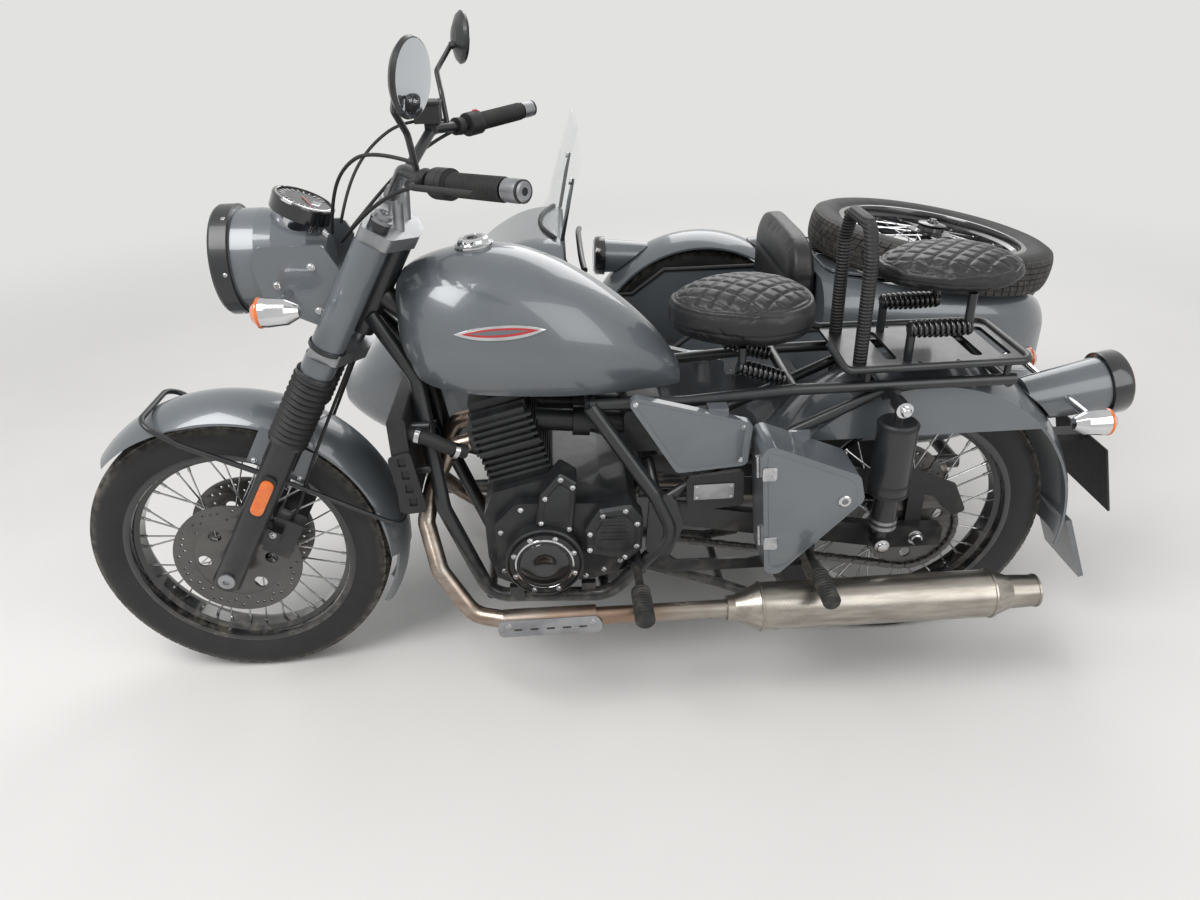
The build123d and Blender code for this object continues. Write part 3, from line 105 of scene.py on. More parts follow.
def eased(points: Sequence[Point], radius: float, steps: int = 5) -> list[Flat]:
    """Outline with its corners rounded.

    Args:
        points: Corners of the outline.
        radius: How far from a corner its curve starts.
        steps: Points on each curve, less one.

    Returns:
        The rounded outline.
    """
    result = []
    for index, (x, y) in enumerate(points):
        (px, py), (nx, ny) = points[index - 1], points[(index + 1) % len(points)]
        back, ahead = math.hypot(px - x, py - y), math.hypot(nx - x, ny - y)
        first, last = min(radius / back, LONGEST_CURVE), min(radius / ahead, LONGEST_CURVE)
        for step in range(steps + 1):
            t = step / steps
            begin, middle, end = (1 - t) ** 2, 2 * t * (1 - t), t * t
            result.append((begin * (x + (px - x) * first) + middle * x + end * (x + (nx - x) * last),
                           begin * (y + (py - y) * first) + middle * y + end * (y + (ny - y) * last)))
    return result


def shrunk(points: Sequence[Point], share: float) -> list[Flat]:
    """Outline drawn in towards its middle."""
    mx, my = (sum(p[k] for p in points) / len(points) for k in (0, 1))
    return [(mx + (x - mx) * share, my + (y - my) * share) for x, y in points]


class Body(Enum):
    """Rigid bodies that the pieces ride on."""

    CHASSIS = "chassis"
    STEERING = "steering_head"
    FRONT_WHEEL = "front_wheel_set"
    REAR_WHEEL = "rear_wheel_set"
    SIDE_WHEEL = "sidecar_wheel_set"
    TOOLBOX = "toolbox_flap"
    BOOT = "boot_cover"
    STAND = "stand"


RAY_CAMERA, RAY_GLOSSY, RAY_TRANSMISSION = 0, 3, 6


class Wire:
    """A shader socket that takes part in Python expressions."""

    def __init__(self, book: "MaterialBook", socket: bpy.types.NodeSocket) -> None:
        """Keep the socket and the material it belongs to."""
        self.book = book
        self.socket = socket

    def _math(self, operation: str, first: "Wire | float", second: "Wire | float") -> "Wire":
        """Add one Math node and return its result."""
        return self.book.node("ShaderNodeMath", {"operation": operation}, {0: first, 1: second})

    def __add__(self, other: "Wire | float") -> "Wire":
        """Sum."""
        return self._math("ADD", self, other)

    def __sub__(self, other: "Wire | float") -> "Wire":
        """Difference."""
        return self._math("SUBTRACT", self, other)

    def __rsub__(self, other: float) -> "Wire":
        """Difference, reflected."""
        return self._math("SUBTRACT", other, self)

    def __mul__(self, other: "Wire | float") -> "Wire":
        """Product."""
        return self._math("MULTIPLY", self, other)

    def step(self, low: float, high: float) -> "Wire":
        """Ramp from 0 at low to 1 at high, smoothed."""
        values = {"Value": self, "From Min": low, "From Max": high}
        return self.book.node("ShaderNodeMapRange", {"interpolation_type": "SMOOTHSTEP"}, values)

    def sine(self) -> "Wire":
        """Sine of the value."""
        return self._math("SINE", self, 0.0)

    def least(self, other: "Wire | float") -> "Wire":
        """Smaller of two values."""
        return self._math("MINIMUM", self, other)


class MaterialBook:
    """Nodes of one procedural material on the piece's own coordinates."""

    def __init__(self, name: str, world: bpy.types.World | None = None) -> None:
        """Make an empty material, or empty a world's nodes.

        Args:
            name: The material's name.
            world: The world, where its nodes are wanted in place of a material's.
        """
        self.material = world or bpy.data.materials.new(name)
        self.material.use_nodes = True
        self.tree = self.material.node_tree
        self.tree.nodes.clear()

    def node(self, kind: str, settings: dict[str, object], values: dict[int | str, object], output: int = 0) -> Wire:
        """Add a node.

        Args:
            kind: The node's type.
            settings: Properties to set first.
            values: Sockets by index or name, as numbers, colours or wires.
            output: Which output to return.

        Returns:
            The node's output.
        """
        new = self.tree.nodes.new(kind)
        for key, value in settings.items():
            setattr(new, key, value)
        for key, value in values.items():
            if isinstance(value, Wire):
                self.tree.links.new(value.socket, new.inputs[key])
            else:
                new.inputs[key].default_value = value
        return Wire(self, new.outputs[output]) if len(new.outputs) else Wire(self, new.inputs[0])

    def place(self) -> Wire:
        """Object coordinates."""
        return self.node("ShaderNodeTexCoord", {}, {}, 3)

    def along(self, axis: int, centre: float = 0.0) -> Wire:
        """One coordinate, less a centre."""
        return self.node("ShaderNodeSeparateXYZ", {}, {0: self.place()}, axis) - centre

    def noise(self, scale: float, detail: float = 3.0, stretch: Point = (1, 1, 1), rough: float = 0.55) -> Wire:
        """Noise on Object coordinates.

        Args:
            scale: Waves in a metre.
            detail: Octaves.
            stretch: Scale of each axis.
            rough: Share of the fine octaves.

        Returns:
            The noise, about 0.5.
        """
        where = self.node("ShaderNodeMapping", {}, {"Vector": self.place(), "Scale": tuple(stretch)})
        values = {"Vector": where, "Scale": scale, "Detail": detail, "Roughness": rough}
        return self.node("ShaderNodeTexNoise", {}, values)

    def cells(self, scale: float) -> Wire:
        """Distance to the edge of a cell pattern."""
        values = {"Vector": self.place(), "Scale": scale}
        return self.node("ShaderNodeTexVoronoi", {"feature": "DISTANCE_TO_EDGE"}, values)

    def mix(self, mask: Wire | float, first: object, second: object) -> Wire:
        """Blend two colours."""
        return self.node("ShaderNodeMix", {"data_type": "RGBA"}, {0: mask, 6: first, 7: second}, 2)

    def bump(self, height: Wire, depth: float, strength: float = 1.0) -> Wire:
        """Normal from a height, in metres deep."""
        return self.node("ShaderNodeBump", {}, {"Height": height, "Distance": depth, "Strength": strength})

    def seen(self) -> Wire:
        """1 for what the camera, a reflection or glass sees, 0 for light that falls on things."""
        rays = [self.node("ShaderNodeLightPath", {}, {}, kind) for kind in (RAY_CAMERA, RAY_GLOSSY, RAY_TRANSMISSION)]
        return (rays[0] + rays[1] + rays[2]).least(1.0)

    def close(self, fixed: dict[str, object], linked: dict[str, object]) -> bpy.types.Material:
        """Add the surface shader and the output.

        Args:
            fixed: Numbers and colours set on the shader.
            linked: Wires or values that vary over the surface.

        Returns:
            The material.
        """
        shader = self.node("ShaderNodeBsdfPrincipled", {}, {**fixed, **linked})
        self.node("ShaderNodeOutputMaterial", {}, {"Surface": shader})
        return self.material


@dataclass(frozen=True)
class Finish:
    """A finish with uneven colour and gloss, a fine relief and settled dust."""

    name: str
    slot: str
    colour: Shade
    shade: Shade
    roughness: float = 0.4
    metallic: float = 0.0
    coat: float = 0.0
    patch: float = 6.0
    grain: float = 300.0
    relief: float = 0.0
    unevenness: float = 0.12
    dust: float = 0.0
    dust_top: float = 0.55

    def colour_of(self, book: MaterialBook) -> Wire:
        """Colour over the surface.

        Args:
            book: The material's nodes.

        Returns:
            The colour.
        """
        patches = book.noise(self.patch, 4.0)
        base = book.mix(patches.step(0.35, 0.7), tone(*self.colour), tone(*self.shade))
        if not self.dust:
            return base
        low = 1 - book.along(2, FOOT[2]).step(0.05, self.dust_top)
        dust = low * book.noise(38.0, 5.0).step(0.42, 0.72) * self.dust
        return book.mix(dust, base, tone(150, 142, 128))

    def relief_of(self, book: MaterialBook) -> Wire | None:
        """Fine relief over the surface, or none."""
        if not self.relief:
            return None
        return book.bump(book.noise(self.grain, 3.0), self.relief * MM)

    def make(self) -> bpy.types.Material:
        """Build the material.

        Returns:
            The finished material.
        """
        book = MaterialBook(self.name)
        gloss = book.noise(self.patch * 3.1, 3.0)
        uneven = (gloss - 0.5) * self.unevenness + self.roughness
        linked: dict[str, object] = {"Base Color": self.colour_of(book), "Roughness": uneven}
        relief = self.relief_of(book)
        if relief is not None:
            linked["Normal"] = relief
        fixed = {"Metallic": self.metallic, "Coat Weight": self.coat, "Coat Roughness": 0.06}
        return book.close(fixed, linked)


@dataclass(frozen=True)
class TyreFinish(Finish):
    """Tyre rubber with a dusty tread."""

    hub: tuple[float, float, float] = (0.0, 0.0, 0.0)

    def colour_of(self, book: MaterialBook) -> Wire:
        """Black sidewall, greyer and dusty towards the tread.

        Args:
            book: The material's nodes.

        Returns:
            The colour.
        """
        base = book.mix(book.noise(9.0, 4.0).step(0.35, 0.7), tone(*self.colour), tone(*self.shade))
        reach = book.node("ShaderNodeVectorMath", {"operation": "DISTANCE"}, {0: book.place(), 1: self.hub}, 1)
        tread = reach.step(0.306, 0.330) * book.noise(46.0, 5.0).step(0.3, 0.8) * self.dust
        return book.mix(tread, base, tone(140, 132, 118))


@dataclass(frozen=True)
class BrushedFinish(Finish):
    """Steel brushed along the machine, straw coloured where the exhaust runs hot."""

    hot_x: float = 0.0

    def colour_of(self, book: MaterialBook) -> Wire:
        """Steel with a heat tint towards the front.

        Args:
            book: The material's nodes.

        Returns:
            The colour.
        """
        streaks = book.noise(60.0, 3.0, (0.15, 1, 1))
        base = book.mix(streaks.step(0.3, 0.7), tone(*self.colour), tone(*self.shade))
        heat = book.along(0, self.hot_x).step(0.0, 0.35) * book.noise(7.0, 3.0).step(0.2, 0.7)
        return book.mix(heat * 0.75, base, tone(134, 104, 84))

    def relief_of(self, book: MaterialBook) -> Wire:
        """Brush lines."""
        return book.bump(book.noise(900.0, 2.0, (0.03, 1, 1)), self.relief * MM)


@dataclass(frozen=True)
class RibbedFinish(Finish):
    """Rubber sleeve with ribs round it, one above the other."""

    pitch: float = 7.0

    def relief_of(self, book: MaterialBook) -> Wire:
        """Ribs up the sleeve."""
        wave = (book.along(2) * (2 * math.pi / (self.pitch * MM))).sine()
        return book.bump(wave * 0.5 + 0.5, self.relief * MM)


@dataclass(frozen=True)
class LeatherFinish(Finish):
    """Grained black leather with fine creases."""

    def relief_of(self, book: MaterialBook) -> Wire:
        """Pebble grain with longer creases.

        Args:
            book: The material's nodes.

        Returns:
            The normal.
        """
        pebbles = book.cells(self.grain).step(0.0, 0.35)
        creases = book.noise(30.0, 4.0)
        return book.bump(pebbles * 0.6 + creases * 0.8, self.relief * MM)


@dataclass(frozen=True)
class ClearFinish(Finish):
    """Clear or tinted lens and screen, thin and glossy."""

    through: float = 0.9
    glow: float = 0.0

    def make(self) -> bpy.types.Material:
        """Build the see-through material.

        Returns:
            The finished material.
        """
        book = MaterialBook(self.name)
        haze = book.noise(self.patch, 3.0)
        fixed = {"Metallic": 0.0, "Coat Weight": self.coat, "IOR": 1.45}
        linked = {"Base Color": self.colour_of(book), "Roughness": (haze - 0.5) * 0.08 + self.roughness,
                  "Alpha": (haze - 0.5) * 0.05 + (1 - self.through)}
        return book.close(fixed, linked)


GREY = Finish("gloss_grey_paint", "grey_paint", (98, 103, 107), (92, 97, 101),
              0.32, 0.15, 0.9, 5.0, 900.0, 0.004, 0.05, 0.22, 0.60)
SATIN = Finish("satin_black_tube", "black_frame", (27, 28, 30), (34, 35, 37),
               0.38, 0.0, 0.25, 14.0, 420.0, 0.05, 0.15, 0.45, 0.45)
CASTING = Finish("black_coated_casting", "black_engine", (34, 35, 37), (46, 47, 48),
                 0.46, 0.35, 0.1, 18.0, 520.0, 0.14, 0.18, 0.35, 0.5)
GLOSS_BLACK = Finish("gloss_black_enamel", "black_frame", (16, 17, 19), (22, 23, 25),
                     0.2, 0.0, 0.8, 9.0, 700.0, 0.01, 0.08, 0.3, 0.4)
PLASTIC = Finish("moulded_black_plastic", "black_rubber", (25, 25, 26), (33, 33, 34),
                 0.5, 0.0, 0.0, 20.0, 650.0, 0.06, 0.15, 0.3, 0.5)
RUBBER = Finish("soft_black_rubber", "black_rubber", (22, 22, 22), (31, 31, 30),
                0.66, 0.0, 0.0, 24.0, 480.0, 0.08, 0.14, 0.35, 0.6)
SLEEVE = RibbedFinish("ribbed_grab_sleeve", "black_rubber", (23, 23, 24), (31, 31, 31),
                      0.55, 0.0, 0.0, 20.0, 500.0, 1.2, 0.12)
CHROME = Finish("bright_chrome", "chrome", (214, 214, 216), (196, 197, 200), 0.09, 1.0, 0.0, 12.0, 300.0, 0.0, 0.06)
SPOKE = Finish("polished_spoke", "bright_steel", (200, 200, 202), (168, 168, 170),
               0.22, 1.0, 0.0, 30.0, 300.0, 0.0, 0.15)
ALLOY = Finish("cast_alloy", "raw_aluminium", (160, 161, 163), (132, 133, 136), 0.36, 0.85, 0.1, 16.0, 380.0, 0.08, 0.2)
DISC = Finish("ground_disc_steel", "bright_steel", (104, 103, 101), (94, 93, 92), 0.36, 0.9, 0.0, 7.0, 600.0, 0.02, 0.1)
LEATHER = LeatherFinish("black_seat_leather", "black_leather", (24, 24, 26), (33, 33, 35),
                        0.40, 0.0, 0.0, 10.0, 260.0, 0.28, 0.14)
EXHAUST = BrushedFinish("brushed_exhaust_steel", "raw_aluminium", (172, 166, 158), (140, 134, 126),
                        0.3, 0.95, 0.0, 8.0, 300.0, 0.05, 0.18, 0.0, 0.5, float(at(330, 0, 0)[0]))
CLEAR = ClearFinish("clear_screen", "clear_glass", (206, 214, 214), (214, 220, 220), 0.06, 0.0, 0.5, 5.0)
RED_LENS = Finish("red_lens", "lamp_red", (128, 14, 18), (92, 10, 14), 0.14, 0.0, 1.0, 40.0, 500.0, 0.06, 0.08)
AMBER_LENS = Finish("amber_lens", "lamp_red", (226, 112, 22), (206, 92, 14), 0.16, 0.0, 1.0, 60.0, 500.0, 0.06, 0.08)
LAMP_GLASS = Finish("headlamp_front", "clear_glass", (150, 156, 162), (92, 98, 104),
                    0.1, 0.5, 1.0, 26.0, 160.0, 0.12, 0.1)
MIRROR = Finish("mirror_glass", "chrome", (206, 210, 214), (196, 200, 206), 0.03, 1.0, 0.0, 3.0)
DIAL = Finish("dial_face", "black_rubber", (20, 21, 24), (28, 29, 33), 0.3, 0.0, 0.6, 30.0)
PALE = Finish("pale_marking", "raw_aluminium", (214, 214, 210), (200, 200, 196), 0.4, 0.0, 0.3, 30.0)
RED = Finish("red_enamel", "lamp_red", (176, 24, 26), (160, 20, 22), 0.28, 0.0, 0.9, 30.0)


class Wardrobe:
    """Makes each finish once and hands it out."""

    def __init__(self) -> None:
        """Start with nothing made."""
        self.made: dict[str, bpy.types.Material] = {}

    def get(self, finish: Finish) -> bpy.types.Material:
        """Material of a finish."""
        if finish.name not in self.made:
            self.made[finish.name] = finish.make()
        return self.made[finish.name]


WARDROBE = Wardrobe()


class Bench:
    """Modelling moves that the sub-assemblies share."""

    @staticmethod
    def clear() -> None:
        """Leave object mode with nothing selected."""
        if bpy.context.object and bpy.context.object.mode != "OBJECT":
            bpy.ops.object.mode_set(mode="OBJECT")
        bpy.ops.object.select_all(action="DESELECT")

    @classmethod
    def only(cls, *pieces: Piece) -> None:
        """Select just these pieces, the first one active.

        Args:
            pieces: The pieces.
        """
        cls.clear()
        for piece in pieces:
            piece.select_set(True)
        bpy.context.view_layer.objects.active = pieces[0]

    @classmethod
    def edit(cls, piece: Piece) -> None:
        """Open a piece in edit mode with everything selected.

        Args:
            piece: The piece.
        """
        cls.only(piece)
        bpy.ops.object.mode_set(mode="EDIT")
        bpy.ops.mesh.select_all(action="SELECT")

    @classmethod
    def settle(cls, piece: Piece, angle: float = 35.0) -> Piece:
        """Merge doubles, turn faces outwards, put the place in the mesh and smooth shallow edges.

        Args:
            piece: The piece.
            angle: Sharper edges stay sharp, in degrees.

        Returns:
            The same piece.
        """
        if bpy.context.object != piece or bpy.context.object.mode != "EDIT":
            cls.edit(piece)
        bpy.ops.mesh.select_all(action="SELECT")
        bpy.ops.mesh.remove_doubles(threshold=2e-5)
        bpy.ops.mesh.normals_make_consistent(inside=False)
        bpy.ops.object.mode_set(mode="OBJECT")
        bpy.ops.object.transform_apply(location=True, rotation=True, scale=True)
        bpy.ops.object.shade_smooth_by_angle(angle=math.radians(angle))
        return piece

    @classmethod
    def turned(cls, name: str, rows: Sequence[Flat], start: Vector, axis: Point, steps: int = 48,
               angle: float = 30.0) -> Piece:
        """Turned piece: a circle extruded and resized along its axis.

        Args:
            name: The piece's name.
            rows: Distance along the axis and radius, in millimetres, outside first.
            start: Where the axis starts, in metres.
            axis: Its direction.
            steps: Sides of the circle.
            angle: Sharper edges stay sharp, in degrees.

        Returns:
            The piece.
        """
        cls.clear()
        rows = [(along * MM, max(radius, 0.02) * MM) for along, radius in rows]
        bpy.ops.mesh.primitive_circle_add(vertices=steps, radius=rows[0][1], location=(0, 0, 0), fill_type="NOTHING")
        piece = bpy.context.object
        piece.name = name
        bpy.ops.object.mode_set(mode="EDIT")
        bpy.ops.mesh.select_all(action="SELECT")
        bpy.ops.transform.translate(value=(0, 0, rows[0][0]))
        closed = rows[0] == rows[-1]
        if not closed:
            bpy.ops.mesh.edge_face_add()
        for (back, inner), (along, radius) in zip(rows, rows[1:]):
            bpy.ops.mesh.extrude_region_move(TRANSFORM_OT_translate={"value": (0, 0, along - back)})
            if radius != inner:
                bpy.ops.transform.resize(value=(radius / inner, radius / inner, 1.0))
        if not closed:
            bpy.ops.mesh.edge_face_add()
        bpy.ops.object.mode_set(mode="OBJECT")
        piece.data.transform(facing(start, axis))
        return cls.settle(piece, angle)

    @classmethod
    def coil(cls, name: str, start: Point, stop: Point, radius: float, wire: float, turns: float) -> Piece:
        """Barrel spring between two points.

        Args:
            name: The piece's name.
            start: One end, in the vehicle's millimetres.
            stop: The other end.
            radius: Radius at its middle.
            wire: Radius of the wire.
            turns: Number of turns.

        Returns:
            The spring.
        """
        low, high = at(*start), at(*stop)
        length = (high - low).length
        count = int(turns * 12)
        points = []
        for index in range(count + 1):
            share = index / count
            turn = 2 * math.pi * turns * share
            reach = radius * MM * (0.86 + 0.14 * math.sin(math.pi * share))
            points.append(Vector((reach * math.cos(turn), reach * math.sin(turn), length * share)))
        return cls.moved(cls.bent(name, points, wire), facing(low, high - low))

    @classmethod
    def repeated(cls, name: str, form: Piece, places: Iterable[Matrix]) -> Piece:
        """Copy a form to many places as one piece, and drop the form.

        Args:
            name: Name of the result.
            form: What is copied.
            places: Where each copy goes.

        Returns:
            The joined copies.
        """
        copies = [cls.copied(form, name, place) for place in places]
        bpy.data.objects.remove(form)
        return cls.joined(name, copies)

    @classmethod
    def studs(cls, name: str, places: Iterable[Point], axis: Point, radius: float, height: float) -> Piece:
        """Flanged bolt heads with a recess, all facing one way.

        Args:
            name: Name of the group.
            places: Where each head sits, in the vehicle's millimetres.
            axis: The way that the heads face.
            radius: Radius of a head.
            height: Its height.

        Returns:
            All heads as one piece.
        """
        rows = ((-0.6, radius * 1.3), (height * 0.22, radius * 1.3), (height * 0.28, radius), (height * 0.85, radius),
                (height, radius * 0.82), (height, radius * 0.5), (height * 0.5, radius * 0.46))
        form = cls.turned(name, rows, Vector(), axis, 12)
        return cls.repeated(name, form, [Matrix.Translation(at(*place)) for place in places])

    @classmethod
    def flank(cls, name: str, outlines: Sequence[Sequence[Point]], y: float, thickness: float, edge: float) -> Piece:
        """Sheet cut to a side view of (x, z) points."""
        return cls.moved(cls.cut_sheet(name, outlines, thickness, edge), Matrix.Translation(at(0, y, 0)) @ UPRIGHT)

    @classmethod
    def laid_on(cls, piece: Piece, node: str, base: float) -> Piece:
        """Press a side-view sheet onto the left flank of a node, so that it follows its curve.

        Args:
            piece: The sheet.
            node: The node.
            base: Sideways place of the sheet's underside, in millimetres.

        Returns:
            The same piece.
        """
        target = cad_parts[node]
        level = at(0, base, 0).y
        for vertex in piece.data.vertices:
            hit, place, _, _ = target.ray_cast(Vector((vertex.co.x, FOOT.y + 0.6, vertex.co.z)), Vector((0, -1, 0)))
            if hit:
                vertex.co.y = place.y + vertex.co.y - level
        piece.data.update()
        return piece

    @classmethod
    def bent(cls, name: str, points: Iterable[Vector], radius: float, sides: int = 3,
             smooth: bool = True) -> Piece:
        """Round bar, hose or cable along a smooth line.

        Args:
            name: The piece's name.
            points: Points of the line, in metres.
            radius: Its radius, in millimetres.
            sides: Fineness of the section.
            smooth: True for a curve through the line's bends, False for straight runs.

        Returns:
            The piece.
        """
        cls.clear()
        line = bpy.data.curves.new(name, "CURVE")
        line.dimensions = "3D"
        line.bevel_depth = radius * MM
        line.bevel_resolution = sides
        line.use_fill_caps = True
        line.resolution_u = 8
        route = list(points)
        spline = line.splines.new("NURBS" if smooth else "POLY")
        spline.points.add(len(route) - 1)
        for knot, point in zip(spline.points, route):
            knot.co = (*point, 1.0)
        if smooth:
            spline.order_u = 3
            spline.use_endpoint_u = True
        piece = bpy.data.objects.new(name, line)
        bpy.context.scene.collection.objects.link(piece)
        cls.only(piece)
        bpy.ops.object.convert(target="MESH")
        return cls.settle(piece, 40.0)

    @classmethod
    def cut_sheet(cls, name: str, outlines: Sequence[Sequence[Point]], thickness: float, edge: float = 0.4) -> Piece:
        """Flat sheet in the XY plane from an outline and its holes, with eased edges.

        Args:
            name: The piece's name.
            outlines: The outline first, then its holes, in millimetres.
            thickness: Thickness in millimetres.
            edge: Size of the eased edge in millimetres.

        Returns:
            The piece, its middle at the origin.
        """
        cls.clear()
        line = bpy.data.curves.new(name, "CURVE")
        line.dimensions = "2D"
        line.fill_mode = "BOTH"
        line.extrude = (thickness / 2 - edge) * MM
        line.bevel_depth = edge * MM
        line.bevel_resolution = 1
        for outline in outlines:
            spline = line.splines.new("POLY")
            spline.points.add(len(outline) - 1)
            for knot, point in zip(spline.points, outline):
                knot.co = (point[0] * MM, point[1] * MM, 0.0, 1.0)
            spline.use_cyclic_u = True
        piece = bpy.data.objects.new(name, line)
        bpy.context.scene.collection.objects.link(piece)
        cls.only(piece)
        bpy.ops.object.convert(target="MESH")
        return cls.settle(piece, 30.0)

    @classmethod
    def moved(cls, piece: Piece, matrix: Matrix) -> Piece:
        """Put a piece's mesh in another place.

        Args:
            piece: The piece.
            matrix: The move.

        Returns:
            The same piece.
        """
        piece.data.transform(matrix)
        if matrix.determinant() < 0:
            piece.data.flip_normals()
        piece.data.update()
        return piece

    @classmethod
    def copied(cls, piece: Piece, name: str, matrix: Matrix) -> Piece:
        """Copy a piece with a mesh of its own.

        Args:
            piece: The piece to copy.
            name: The copy's name.
            matrix: Where the copy goes.

        Returns:
            The copy.
        """
        new = piece.copy()
        new.data = piece.data.copy()
        new.name = name
        bpy.context.scene.collection.objects.link(new)
        return cls.moved(new, matrix)

    @classmethod
    def joined(cls, name: str, pieces: Sequence[Piece]) -> Piece:
        """Join pieces into one.

        Args:
            name: Name of the result.
            pieces: The pieces.

        Returns:
            The joined piece.
        """
        cls.only(*pieces)
        if len(pieces) > 1:
            bpy.ops.object.join()
        pieces[0].name = name
        return pieces[0]

    @classmethod
    def mirrored(cls, piece: Piece, name: str) -> Piece:
        """Copy of a piece on the machine's other side."""
        to_middle = Matrix.Translation((0, FOOT[1], 0))
        return cls.copied(piece, name, to_middle @ Matrix.Scale(-1, 4, (0, 1, 0)) @ to_middle.inverted())


def circle(radius: float, steps: int, x: float = 0.0, y: float = 0.0, first: float = 0.0) -> list[Flat]:
    """Points of a circle."""
    turns = [math.radians(first + 360 * index / steps) for index in range(steps)]
    return [(x + radius * math.cos(turn), y + radius * math.sin(turn)) for turn in turns]


def block(left: float, low: float, right: float, high: float) -> list[Flat]:
    """Corners of an upright rectangle."""
    return [(left, low), (right, low), (right, high), (left, high)]


class Assembly:
    """Pieces that belong together, most of them riding on one body."""

    body = Body.CHASSIS

    def dress(self, piece: Piece, finish: Finish, *nodes: str, slot: str = "", body: Body | None = None) -> Piece:
        """Give a piece its finish and body, and log it.

        Args:
            piece: The piece.
            finish: Its finish.
            nodes: Nodes that it stands for.
            slot: Not used.
            body: The body that it rides on, where it isn't the assembly's own.

        Returns:
            The same piece.
        """
        if not piece.data.materials:
            piece.data.materials.append(WARDROBE.get(finish))
        home = (body or self.body).value
        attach(piece, home)
        if nodes:
            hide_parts(*nodes)
        LOG.info("%s rides on %s", piece.name, home)
        return piece

    def pair(self, piece: Piece, finish: Finish) -> None:
        """Dress a piece named for the left and its mirror image named for the right."""
        self.dress(piece, finish)
        self.dress(Bench.mirrored(piece, piece.name.replace("left", "right")), finish)

    def lathe(self, name: str, finish: Finish, rows: Sequence[Flat], place: Point, axis: Point, steps: int = 48,
              angle: float = 30.0, **worn: str | Body) -> None:
        """Turn a piece and dress it."""
        self.dress(Bench.turned(name, rows, at(*place), axis, steps, angle), finish, **worn)

    def panel(self, name: str, finish: Finish, outlines: Sequence[Sequence[Point]], y: float, thickness: float,
              edge: float, **worn: Body) -> None:
        """Cut a sheet to a side view and dress it."""
        self.dress(Bench.flank(name, outlines, y, thickness, edge), finish, **worn)

    def bolts(self, name: str, places: Iterable[Point], axis: Point, radius: float, height: float) -> None:
        """Bright bolt heads, all facing one way."""
        self.dress(Bench.studs(name, places, axis, radius, height), SPOKE)

    def hose(self, name: str, route: Iterable[Point], radius: float) -> None:
        """Rubber hose or cable along a line of the vehicle's millimetres."""
        self.dress(Bench.bent(name, [at(*place) for place in route], radius), RUBBER)


